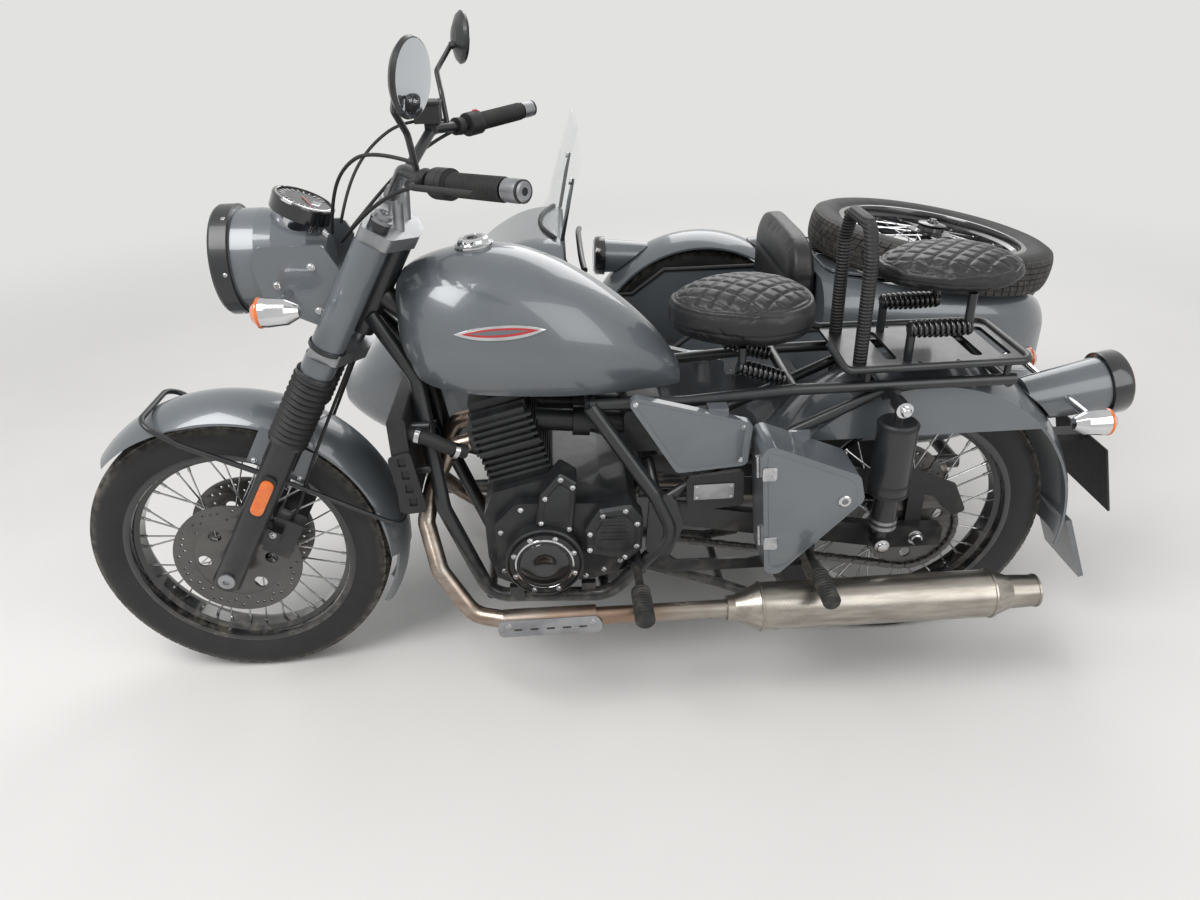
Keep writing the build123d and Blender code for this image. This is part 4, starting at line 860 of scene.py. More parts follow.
@dataclass
class Wheel(Assembly):
    """Spoked wheel and its tyre, modelled once about the Y axis and copied to each axle."""

    crown: float = 327.0
    block_height: float = 3.0
    block_edge: float = 1.9
    blocks: int = 84
    spokes: int = 36
    flange: float = 58.0
    teeth: int = 42
    disc_y: float = 62.0
    chain_y: float = 84.0
    places: tuple[tuple[str, Body, Point, tuple[float, ...]], ...] = (
        ("front", Body.FRONT_WHEEL, (WHEELBASE, 0.0, TYRE_R), (62.0, -62.0)),
        ("rear", Body.REAR_WHEEL, (0.0, 0.0, TYRE_R), (-62.0,)),
        ("sidecar", Body.SIDE_WHEEL, (*SIDE_WHEEL, TYRE_R), (62.0,)),
        ("spare", Body.BOOT, SPARE, ()),
    )

    def tyre(self) -> Piece:
        """Tyre with raised tread blocks and rounded sidewalls.

        Returns:
            The tyre about the Y axis.
        """
        side = [(38, 244), (40, 252), (45, 262), (49, 272), (51, 284), (52, 292), (51, 300), (49, 309), (46, 315)]
        half = side + [(43, 319), (29, 324.5), (14.5, 326.6), (0, self.crown)]
        rows = [(-y, r) for y, r in half] + [(y, r) for y, r in reversed(half[:-1])]
        rows += [(20, 250), (-20, 250), rows[0]]
        tyre = Bench.turned("tyre_form", rows, Vector(), AXLE, self.blocks, 28.0)
        for vertex in tyre.data.vertices:
            y = abs(vertex.co.y)
            if y < 0.0435 and math.hypot(vertex.co.x, vertex.co.z) > 0.316:
                vertex.co = Matrix.Rotation(y / 0.043 * math.pi / self.blocks * 1.6, 4, "Y") @ vertex.co
        Bench.edit(tyre)
        bpy.ops.mesh.select_all(action="DESELECT")
        bpy.ops.object.mode_set(mode="OBJECT")
        for face in tyre.data.polygons:
            centre = face.center
            face.select = math.hypot(centre.x, centre.z) > 0.3165 and abs(centre.y) < 0.044
        bpy.ops.object.mode_set(mode="EDIT")
        bpy.ops.mesh.select_mode(type="FACE")
        bpy.ops.mesh.inset(thickness=self.block_edge * MM, depth=self.block_height * MM, use_individual=True,
                           use_even_offset=True)
        bpy.ops.mesh.select_mode(type="VERT")
        return Bench.settle(tyre, 28.0)

    def rim(self) -> Piece:
        """Rolled rim with a drop centre, about the Y axis."""
        outer = [(42, 253), (41, 255), (39, 255), (38, 252), (38, 243.4), (24, 243), (17, 232)]
        inner = [(16, 228), (23, 238.5), (36, 239), (41, 241), (42, 245), (42, 253)]
        rows = outer + [(-y, r) for y, r in reversed(outer)] + [(-y, r) for y, r in reversed(inner)] + inner
        return Bench.turned("rim_form", rows, Vector(), AXLE, 96, 32.0)

    def hub(self) -> Piece:
        """Waisted hub with two flanges, about the Y axis."""
        half = [(50, 12), (50, 30), (47, 34), (37, 36), (34, 44), (33.5, self.flange), (27, self.flange), (26, 44),
                (22, 37), (10, 31)]
        return Bench.turned("hub_form", half + [(-y, r) for y, r in reversed(half)], Vector(), AXLE, 48, 32.0)

    def lacing(self) -> Piece:
        """Round crossed spokes with their nipples.

        Returns:
            All spokes as one piece.
        """
        groups = []
        for kind in range(4):
            side = 1 if kind % 2 else -1
            lean = math.radians(46.0 if kind < 2 else -46.0)
            start = Vector((50 * math.cos(lean), side * 30, 50 * math.sin(lean))) * MM
            stop = Vector((230, side * 7, 0)) * MM
            length = (stop - start).length / MM
            rows = ((0, 2.6), (4, 2.0), (length - 16, 2.0), (length - 15, 3.3), (length, 3.3))
            form = Bench.turned("spoke", rows, start, stop - start, 8)
            turns = [2 * math.pi * index / self.spokes for index in range(kind, self.spokes, 4)]
            groups.append(Bench.repeated("lacing_form", form, [Matrix.Rotation(-turn, 4, "Y") for turn in turns]))
        return Bench.joined("lacing_form", groups)

    def disc(self, y: float) -> Piece:
        """Drilled brake disc on its carrier.

        Args:
            y: Place along the axle, in millimetres.

        Returns:
            The disc about the Y axis.
        """
        holes = [circle(3.6, 8, r * math.cos(a), r * math.sin(a)) for k in range(24)
                 for r, a in ((106 + 9 * (k % 3), math.radians(15 * k)), (128 - 5 * (k % 2), math.radians(15 * k + 7)))]
        ring = Bench.cut_sheet("disc_ring", [circle(140, 72), circle(96, 60), *holes], 5.0)
        windows = [circle(15, 16, *spot) for spot in circle(74, 6)]
        carrier = Bench.cut_sheet("disc_carrier", [circle(98, 60), circle(30, 30), *windows], 4.0)
        return Bench.moved(Bench.joined("disc_form", [ring, carrier]), Matrix.Translation((0, y * MM, 0)) @ UPRIGHT)

    def sprocket(self) -> Piece:
        """Toothed rear sprocket with lightening holes, about the Y axis."""
        outline = []
        for tooth in range(self.teeth):
            for part, reach in ((0.0, 97.5), (0.3, 101.6), (0.5, 101.6), (0.8, 97.5)):
                turn = 2 * math.pi * (tooth + part) / self.teeth
                outline.append((reach * math.cos(turn), reach * math.sin(turn)))
        holes = [circle(13, 14, *spot) for spot in circle(68, 6, first=30)]
        plate = Bench.cut_sheet("sprocket_form", [outline, circle(30, 24), *holes], 5.0)
        return Bench.moved(plate, Matrix.Translation((0, self.chain_y * MM, 0)) @ UPRIGHT)

    def build(self) -> None:
        """Make the forms once and put a copy of each on every axle."""
        tyre, rim, hub, lacing = self.tyre(), self.rim(), self.hub(), self.lacing()
        discs = {y: self.disc(y) for y in (self.disc_y, -self.disc_y)}
        sprocket = self.sprocket()
        for name, body, place, sides in self.places:
            laid = name == "spare"
            turn = Matrix.Rotation(-DECK_TILT, 4, "Y") @ UPRIGHT if laid else Matrix.Identity(4)
            matrix = Matrix.Translation(at(*place)) @ turn
            rubber = TyreFinish(f"{name}_tyre_rubber", "tyre_rubber", (24, 24, 25), (34, 33, 33), 0.62, 0.0, 0.0, 9.0,
                                420.0, 0.10, 0.14, 0.2 if laid else 0.75, 0.7, tuple(at(*place)))
            black = {"slot": "wheel_black", "body": body}
            self.dress(Bench.copied(tyre, f"{name}_tyre_tread", matrix), rubber, f"{name}_tyre", body=body)
            self.dress(Bench.copied(rim, f"{name}_rim", matrix), GLOSS_BLACK, f"{name}_wheel", **black)
            self.dress(Bench.copied(hub, f"{name}_hub", matrix), GLOSS_BLACK, **black)
            self.dress(Bench.copied(lacing, f"{name}_spokes", matrix), SPOKE, body=body)
            for number, side in enumerate(sides, 1):
                self.dress(Bench.copied(discs[side], f"{name}_disc_{number}", matrix), DISC, body=body)
            if name == "rear":
                self.dress(Bench.copied(sprocket, "rear_sprocket", matrix), DISC, body=body)
        for form in (tyre, rim, hub, lacing, sprocket, *discs.values()):
            bpy.data.objects.remove(form)


@dataclass
class Pad(Assembly):
    """A stuffed leather pad: a rounded block, remeshed, puffed by cloth under pressure, then sewn."""

    name: str
    node: str
    plan: float = 3.0
    wall: float = 3.0
    taper: float = 0.0
    crown: float = 0.0
    quilt: float = 0.0
    cap: float = 6.0
    voxel: float = 5.0
    start: float = 0.965
    depth: float = 4.5
    pressure: float = 4.0
    stiffness: float = 30.0
    frames: int = 20

    def space(self) -> tuple[Vector, Vector]:
        """Middle and half size of the node's box, in metres."""
        low, high = (Vector(v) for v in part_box(self.node))
        return (low + high) / 2, (high - low) / 2

    def narrow(self, x: float) -> float:
        """Share of the full width at a place along the pad, from -1 at its back to 1 at its nose."""
        return 1 - self.taper * max(0.0, (x + 0.2) / 1.2) ** 1.4

    def from_middle(self, x: float, y: float) -> float:
        """How far out a place is in plan: 0 at the middle, 1 at the side."""
        return (abs(x) ** self.plan + abs(y) ** self.plan) ** (1 / self.plan)

    def form(self) -> Piece:
        """Rounded block a little smaller than the node, in even voxel faces.

        Returns:
            The block.
        """
        middle, half = self.space()
        Bench.clear()
        bpy.ops.mesh.primitive_cube_add(size=2.0)
        piece = bpy.context.object
        piece.name = self.name
        bpy.ops.object.mode_set(mode="EDIT")
        bpy.ops.mesh.subdivide(number_cuts=36)
        bpy.ops.object.mode_set(mode="OBJECT")
        for vertex in piece.data.vertices:
            p = vertex.co
            p /= (self.from_middle(p.x, p.y) ** self.wall + abs(p.z) ** self.wall) ** (1 / self.wall)
            drop = self.crown * min(1.0, self.from_middle(p.x, p.y)) ** 2
            p.z = p.z * (1 - drop) if p.z > 0 else p.z - drop * 0.4 * (1 + p.z)
            p.y *= self.narrow(p.x)
            vertex.co = middle + Vector([p[k] * half[k] * self.start for k in range(3)])
        Bench.settle(piece, 60.0)
        even = piece.modifiers.new("even_faces", "REMESH")
        even.mode = "VOXEL"
        even.voxel_size = self.voxel * MM
        bpy.ops.object.modifier_apply(modifier=even.name)
        return piece

    def puff(self, piece: Piece) -> None:
        """Let cloth under pressure round the pad, and keep each point near its place.

        Args:
            piece: The pad.
        """
        before = [v.co.copy() for v in piece.data.vertices]
        Bench.only(piece)
        cloth = piece.modifiers.new("stuffing", "CLOTH")
        cloth.settings.use_pressure = True
        cloth.settings.uniform_pressure_force = self.pressure
        cloth.settings.effector_weights.gravity = 0.0
        cloth.settings.tension_stiffness = self.stiffness
        cloth.point_cache.frame_end = self.frames
        for step in range(self.frames):
            bpy.context.scene.frame_set(step + 1)
        bpy.ops.object.modifier_apply(modifier=cloth.name)
        bpy.context.scene.frame_set(1)
        for vertex, old in zip(piece.data.vertices, before):
            move = vertex.co - old
            if move.length > self.cap * MM:
                vertex.co = old + move.normalized() * self.cap * MM

    def sew(self, piece: Piece) -> None:
        """Press the quilting into the top and raise the piping round it.

        Args:
            piece: The pad.
        """
        middle, half = self.space()
        moves = []
        for vertex in piece.data.vertices:
            p = vertex.co - middle
            x = p.x / half.x
            out = self.from_middle(x, p.y / half.y / self.narrow(x)) / self.start
            move = 0.0
            if p.z > 0 and self.quilt:
                a, b = ((p.x + way * p.y) / (self.quilt * MM) for way in (1, -1))
                near = min(abs(a - round(a)), abs(b - round(b)))
                move -= max(0.0, 1 - near / 0.3) ** 2 * self.depth * min(1.0, max(0.0, (0.91 - out) / 0.04))
                move += 2.2 * max(0.0, 1 - abs(out - 0.95) / 0.018)
                move -= 1.8 * max(0.0, 1 - abs(out - 0.918) / 0.016)
            rim = abs(p.z / half.z - (-0.35 if self.quilt else 0.45))
            move -= 1.5 * max(0.0, 1 - rim / 0.07)
            moves.append(vertex.normal * move * MM)
        for vertex, move in zip(piece.data.vertices, moves):
            vertex.co += move
        piece.data.update()

    def build(self) -> None:
        """Make, puff, sew and dress the pad."""
        piece = self.form()
        self.puff(piece)
        Bench.only(piece)
        smooth = piece.modifiers.new("finer", "SUBSURF")
        smooth.levels = smooth.render_levels = 1
        bpy.ops.object.modifier_apply(modifier=smooth.name)
        self.sew(piece)
        bpy.ops.object.shade_smooth()
        self.dress(piece, LEATHER, self.node)


@dataclass
class FrontEnd(Assembly):
    """Fork, headlamp and mudguard trim, all turning with the steering."""

    body = Body.STEERING
    lamp_x: float = 1402.0
    lamp_z: float = 992.0
    ring: float = 103.0
    leg: float = 31.0
    dial_height: float = 66.0

    def collars(self) -> None:
        """Clamp bands round the gaiters, caps on the fork tubes and axle nuts."""
        up = (-math.sin(RAKE), 0, math.cos(RAKE))
        for side, label in SIDES:
            bands = []
            for s, radius in ((364, 37.5), (526, 37.5), (590, 35.0)):
                rows = ((0, radius), (1.5, radius + 1.5), (9, radius + 1.5), (10.5, radius))
                bands.append(Bench.turned("band", rows, at(*fork_point(s, side * FORK_HALF)), up))
            self.dress(Bench.joined(f"{label}_gaiter_bands", bands), SATIN)
            rows = ((0, 21), (6, 21), (8, 17), (16, 17), (18, 14), (18, 8), (12, 7))
            self.lathe(f"{label}_fork_cap", ALLOY, rows, fork_point(868, side * FORK_HALF), up, 24)
            rows = ((0, 15), (3, 18), (8, 18), (11, 12), (11, 7), (6, 6))
            place = (WHEELBASE, side * (FORK_HALF + self.leg - 2), TYRE_R)
            self.lathe(f"{label}_axle_nut", ALLOY, rows, place, (0, side, 0), 24)

    def reflectors(self) -> None:
        """Amber reflector on its black backing at each leg."""
        forward = Vector((math.cos(RAKE), 0, math.sin(RAKE)))
        up = Vector((-math.sin(RAKE), 0, math.cos(RAKE)))
        turn = Matrix((forward, up, Vector((0, -1, 0)))).transposed().to_4x4()
        for side, label in SIDES:
            for name, share, out, thick, finish in (("backing", 1.0, 4, 8, PLASTIC), ("lens", 0.84, 9, 5, AMBER_LENS)):
                outline = eased([(x * share, y * share) for x, y in block(-15, -52, 15, 52)], 13)
                sheet = Bench.cut_sheet(f"{label}_reflector_{name}", [outline], thick, 1.0)
                place = at(*fork_point(238, side * (FORK_HALF + self.leg + out - 2)))
                self.dress(Bench.moved(sheet, Matrix.Translation(place) @ turn), finish)

    def headlamp(self) -> None:
        """Black ring with bright screws, domed glass and bowl."""
        start = (self.lamp_x, 0, self.lamp_z)
        rows = ((-32, 101), (-30, 105), (0, 105), (5, 102), (6, 96), (2, 90), (-8, 88), (-9, 95), (-32, 101))
        self.lathe("headlamp_ring", SATIN, rows, start, AHEAD, 72)
        rows = ((-10, 87), (0, 86), (8, 78), (14, 62), (19, 40), (21, 18), (22, 0.1))
        glass = Bench.turned("headlamp_lens", rows, at(*start), AHEAD, 72, 60.0)
        self.dress(glass, LAMP_GLASS, "headlamp_glass")
        self.lathe("headlamp_core", CHROME, ((-12, 34), (20, 30), (23.5, 26), (23.5, 20), (20, 18)), start, AHEAD, 36)
        rows = ((0, 4.5), (2, 4.4), (3.2, 3.0), (3.2, 0.1))
        heads = [Bench.turned("screw", rows, at(self.lamp_x - 22, y, self.lamp_z + z), (0, y, z), 12)
                 for z, y in circle(104, 6, first=30)]
        self.dress(Bench.joined("headlamp_ring_screws", heads), SPOKE)
        for side, label in SIDES:
            places = [(x, side * self.ring, z) for x, z in ((1290, 968), (1222, 916), (1222, 1000))]
            self.bolts(f"{label}_lamp_ear_bolts", places, (0, side, 0), 6, 6)

    def dial(self) -> None:
        """Black bezel with a bright rim, marked face, needle and window of the round instrument."""
        run = Vector((-0.42, 0, 0.91)).normalized()
        base = facing(at(1268, 0, 1040) + run * self.dial_height * MM, run)
        bezel = ((-28, 57), (-27, 59), (0, 59), (3, 57), (3.5, 53.5), (3.5, 52.5), (0.5, 52), (-1, 53), (-28, 57))
        rim = ((3.4, 54), (4.2, 53.6), (4.4, 52), (4.0, 51.4), (3.4, 54))
        plate = ((-0.5, 52), (1.0, 52), (1.2, 50), (1.2, 0.1))
        for name, rows, steps, finish in (("dial_bezel", bezel, 72, GLOSS_BLACK), ("dial_rim", rim, 72, CHROME),
                                          ("dial_plate", plate, 48, DIAL)):
            self.dress(Bench.moved(Bench.turned(name, rows, Vector(), (0, 0, 1), steps), base), finish)
        on_face = base @ Matrix.Translation((0, 0, 2.0 * MM))
        mark = Bench.cut_sheet("dial_marks", [block(-0.7, 36, 0.7, 45)], 0.8, 0.1)
        turns = [Matrix.Rotation(math.radians(-135 + 15 * k), 4, "Z") for k in range(19)]
        self.dress(Bench.repeated("dial_marks", mark, [on_face @ turn for turn in turns]), PALE)
        needle = Bench.cut_sheet("dial_needle", [[(-1.6, -9), (1.6, -9), (0.5, 38), (-0.5, 38)]], 1.0, 0.15)
        turn = Matrix.Translation((0, 0, 3.2 * MM)) @ Matrix.Rotation(math.radians(128), 4, "Z")
        self.dress(Bench.moved(needle, base @ turn), RED)
        window = Bench.cut_sheet("dial_window", [eased(block(-17, -30, 17, -16), 3)], 1.0, 0.2)
        self.dress(Bench.moved(window, on_face), LAMP_GLASS)

    def indicators(self) -> None:
        """Amber lens in the open end of each bullet lamp."""
        rows = ((0, 26.5), (2, 28), (6, 28), (8, 25.5), (16, 18), (20, 9), (21, 0.1))
        for side, label in SIDES:
            self.lathe(f"front_{label}_lens", AMBER_LENS, rows, (1296, side * 196, 948), AHEAD, 36, 40.0)
            self.lathe(f"rear_{label}_lens", AMBER_LENS, rows, (-338, side * 168, 622), BACK, 36, 40.0,
                       body=Body.CHASSIS)

    def bars(self) -> None:
        """Ribbed grips, bar ends, switches, mirror glasses and cables."""
        tip, knee = Vector((832, 412, 1190)), Vector((955, 290, 1180))
        inward = (knee - tip).normalized()
        rows = [(4, 17.8)]
        for rib in range(19):
            rows += [(7 + 6 * rib, 17.8), (8 + 6 * rib, 18.8), (10 + 6 * rib, 18.8), (11 + 6 * rib, 17.8)]
        rows += [(124, 17.8), (125, 21.5), (129, 21.5), (129, 12)]
        ends = ((0, 12), (0, 17.4), (-24, 17.8), (-33, 16.5), (-36, 12), (-36, 6), (-32, 5.5))
        box = ((0, 19), (2, 24.6), (13, 24.6), (13.6, 23.8), (14.4, 23.8), (15, 24.6), (34, 24.6), (36, 20))
        glass = ((0, 50.5), (0.8, 50.5), (1.2, 49.5), (1.2, 0.1))
        made = [(Bench.turned(name, profile, at(*place), axis, steps), finish)
                for name, profile, place, axis, steps, finish in (
            ("left_grip_rubber", rows, tip, inward, 32, RUBBER), ("left_bar_end", ends, tip, inward, 40, ALLOY),
            ("left_switch_box", box, tip + inward * 127, inward, 40, PLASTIC),
            ("left_mirror_glass", glass, (948, 415, 1345), (-0.92, 0.35, -0.1), 56, MIRROR),
        )]
        for piece, finish in made:
            self.pair(piece, finish)
        self.lathe("stop_switch", RED, ((0, 7), (5, 7), (6, 5.5), (6, 0.1)), (928, -318, 1203), (0.1, 0.1, 1), 20)
        lid = Bench.cut_sheet("fluid_box_lid", [eased(block(988, -234, 1044, -180), 8)], 6.0, 1.0)
        self.dress(Bench.moved(lid, Matrix.Translation(at(0, 0, 1241))), CASTING)
        self.bolts("fluid_box_screws", [(998, -224, 1243), (1034, -190, 1243)], (0, 0, 1), 3, 2)
        lead = ((978, 268, 1172), (1015, 232, 1160), (1070, 165, 1125), (1125, 92, 1078), (1172, 46, 1030))
        clutch = ((985, 258, 1206), (1060, 212, 1222), (1130, 130, 1180), (1172, 70, 1110), (1188, 42, 1046))
        throttle = ((985, -252, 1198), (1060, -206, 1212), (1130, -124, 1172), (1172, -66, 1106), (1188, -38, 1044))
        for name, route, radius in (
            ("left_switch_lead", lead, 3.6), ("clutch_cable", clutch, 3.2),
            ("right_switch_lead", [(x, -y, z) for x, y, z in lead], 3.6), ("throttle_cable", throttle, 3.2),
        ):
            self.hose(name, route, radius)

    def brakes(self) -> None:
        """Caliper bolts, mudguard bolts and the brake hose up each leg."""
        path = ((150, 64, -70), (200, 74, -76), (300, 92, -62), (420, 96, -56), (560, 78, -50), (590, 58, -48))
        for side, label in SIDES:
            out = (0, side, 0)
            places = [fork_point(s, side * 100, f) for s, f in ((100, -20), (124, -48))]
            self.bolts(f"{label}_caliper_bolts", places, out, 6, 6)
            self.hose(f"{label}_brake_hose", [fork_point(s, side * y, f) for s, y, f in path], 3.4)
            places = [fork_point(s, side * 79.6, f) for s, f in ((272, 48), (272, -50))]
            self.bolts(f"{label}_mudguard_bolts", places, out, 5, 5)

    def build(self) -> None:
        """Make every piece of the front end."""
        for make in (self.collars, self.reflectors, self.headlamp, self.dial, self.indicators, self.bars, self.brakes):
            make()


@dataclass
class Engine(Assembly):
    """Cover rings, bolts, hoses and core of the engine and radiator, and the exhaust's fittings."""

    round_cover: Flat = (828.0, 356.0)
    hose_radius: float = 15.0
    pipe_y: float = 250.0
    pipe_z: float = 262.0

    def covers(self) -> None:
        """Rings, ribs and bolt heads on the engine's covers."""
        x, z = self.round_cover
        lip = ((0, 83), (2, 84.6), (5, 84.6), (7, 82), (7, 79), (0, 79), (0, 83))
        self.lathe("round_cover_lip", CASTING, lip, (x, 174, z), LEFT, 72)
        ring = ((0, 64), (1.6, 63), (1.6, 60), (0, 59), (0, 64))
        self.lathe("round_cover_ring", CHROME, ring, (x, 185.6, z), LEFT, 72)
        rows = ((0, 54), (3, 52), (4, 48), (4, 20), (2.5, 17), (2.5, 0.1))
        self.lathe("round_cover_disc", GLOSS_BLACK, rows, (x, 185, z), LEFT, 60, slot="black_engine")
        drive = ((652, 474), (628, 440), (630, 384), (655, 358), (730, 380), (728, 420), (700, 464))
        tower = ((784, 552), (760, 532), (772, 430), (830, 448), (818, 508))
        case = ((918, 320), (918, 420), (872, 474), (700, 310), (664, 330), (740, 296), (880, 296))
        far_case = ((918, 320), (918, 420), (872, 474), (740, 466), (664, 330))
        left = ((185.5, circle(69, 8, x, z, 22)), (175.5, drive), (165.5, tower), (149.5, case))
        right = ((-185.5, circle(75, 8, x, z, 22)), (-179.5, circle(47, 6, 700, 400)), (-149.5, far_case))
        self.bolts("left_cover_bolts", [(px, y, pz) for y, spots in left for px, pz in spots], LEFT, 4.6, 5)
        self.bolts("right_cover_bolts", [(px, y, pz) for y, spots in right for px, pz in spots], RIGHT, 4.6, 5)
        rows = ((0, 60), (3, 58), (4, 54), (4, 24), (2.5, 20), (2.5, 0.1))
        self.lathe("right_cover_disc", GLOSS_BLACK, rows, (x, -185, z), RIGHT, 60, slot="black_engine")
        outline = [(784, 560), (754, 538), (768, 422), (836, 444), (824, 512)]
        self.panel("tower_cover_panel", CASTING, [eased(shrunk(outline, 0.72), 9)], 167, 4, 1.0)
        outline = [(640, 486), (614, 448), (618, 374), (648, 344), (742, 370), (740, 424), (707, 478)]
        self.panel("drive_cover_panel", CASTING, [eased(shrunk(outline, 0.66), 12)], 177, 4, 1.0)
        slants = [eased([(652, z), (706, z + 3), (706, z + 9), (652, z + 6)], 2.8) for z in range(398, 453, 18)]
        ribs = [Bench.flank("rib", [slant], 180, 3, 0.6) for slant in slants]
        self.dress(Bench.joined("drive_cover_ribs", ribs), CASTING)

    def cooling(self) -> None:
        """Radiator fins, guard plates, hoses and their clamps."""
        fin = Bench.cut_sheet("fin", [eased(block(-3.5, -127, 3.5, 127), 1.0, 1)], 1.6, 0.2)
        tilt = Matrix.Rotation(math.radians(18), 4, "Y")
        places = [Matrix.Translation(at(1117, 0, 516 + 6.4 * k)) @ tilt for k in range(24)]
        self.dress(Bench.repeated("radiator_fins", fin, places), CASTING)
        column = Bench.turned("column", ((0, 4), (0.5, 4.4), (155.5, 4.4), (156, 4)), Vector(), (0, 0, 1), 10)
        places = [Matrix.Translation(at(1114, y, 513)) for y in range(-112, 113, 32)]
        self.dress(Bench.repeated("radiator_tubes", column, places), CASTING)
        corners = [(1084, 628), (1130, 616), (1112, 482), (1064, 486)]
        holes = [eased(block(x, z, x + 17, z + 21), 3) for x, z in ((1082, 500), (1086, 532), (1090, 564), (1094, 594))]
        self.pair(Bench.flank("left_radiator_guard", [eased(corners, 10), *holes], 152.5, 4, 0.8), PLASTIC)
        radius = self.hose_radius
        route = ((1092, 126, 660), (1073, 132, 655), (1038, 138, 645), (1010, 134, 622), (976, 118, 604))
        self.hose("upper_water_hose", route, radius)
        rows = ((-5, radius), (-5, radius + 1.8), (5, radius + 1.8), (5, radius), (-5, radius))
        clamps = [Bench.turned("clamp", rows, at(*place), run, 32) for place, run in (
            ((1066, 134, 653), (-1, 0.15, -0.25)), ((996, 128, 613), (-1, -0.4, -0.6)))]
        self.dress(Bench.joined("water_hose_clamps", clamps), SPOKE)
        route = ((1092, -120, 512), (1060, -128, 500), (1020, -136, 486), (968, -136, 468), (930, -128, 452))
        self.hose("lower_water_hose", route, radius)
        route = ((928, 48, 706), (922, 62, 728), (880, 74, 730), (820, 66, 714), (770, 52, 702))
        leads = [Bench.bent("lead", [at(x, side * y, z) for x, y, z in route], 3.6) for side, _ in SIDES]
        self.dress(Bench.joined("plug_leads", leads), RUBBER)

    def pipes(self) -> None:
        """Heat shields, clamps and end rings of the exhaust."""
        outline = [(716, 242), (926, 242), (932, 262), (924, 284), (722, 284), (712, 262)]
        slots = [eased(block(x, 256, x + 18, 262), 2.6) for x in range(744, 881, 34)]
        for side, label in SIDES:
            y = side * self.pipe_y
            self.panel(f"{label}_heat_shield", ALLOY, [eased(outline, 9), *slots], side * 277, 2.4, 0.6)
            places = [(732, side * 277.6, 272), (908, side * 277.6, 272)]
            self.bolts(f"{label}_shield_bolts", places, (0, side, 0), 5, 4)
            rings = []
            for x, radius, width in ((446, 26, 22), (378, 52, 6), (-118, 52, 6), (-220, 34.6, 6)):
                rows = ((0, radius), (1, radius + 1.2), (width - 1, radius + 1.2), (width, radius))
                rings.append(Bench.turned("ring", rows, at(x, y, self.pipe_z), BACK, 48))
            self.dress(Bench.joined(f"{label}_silencer_bands", rings), EXHAUST)
            # Painted shade: a black rubber disc set inside each tail pipe darkens its open end
            rows = ((0, 25.5), (1, 25.5), (2, 22), (1, 0.1))
            self.lathe(f"{label}_tail_core", RUBBER, rows, (-178, y, self.pipe_z), BACK, 40)

    def build(self) -> None:
        """Make every piece of the engine."""
        for make in (self.covers, self.cooling, self.pipes):
            make()


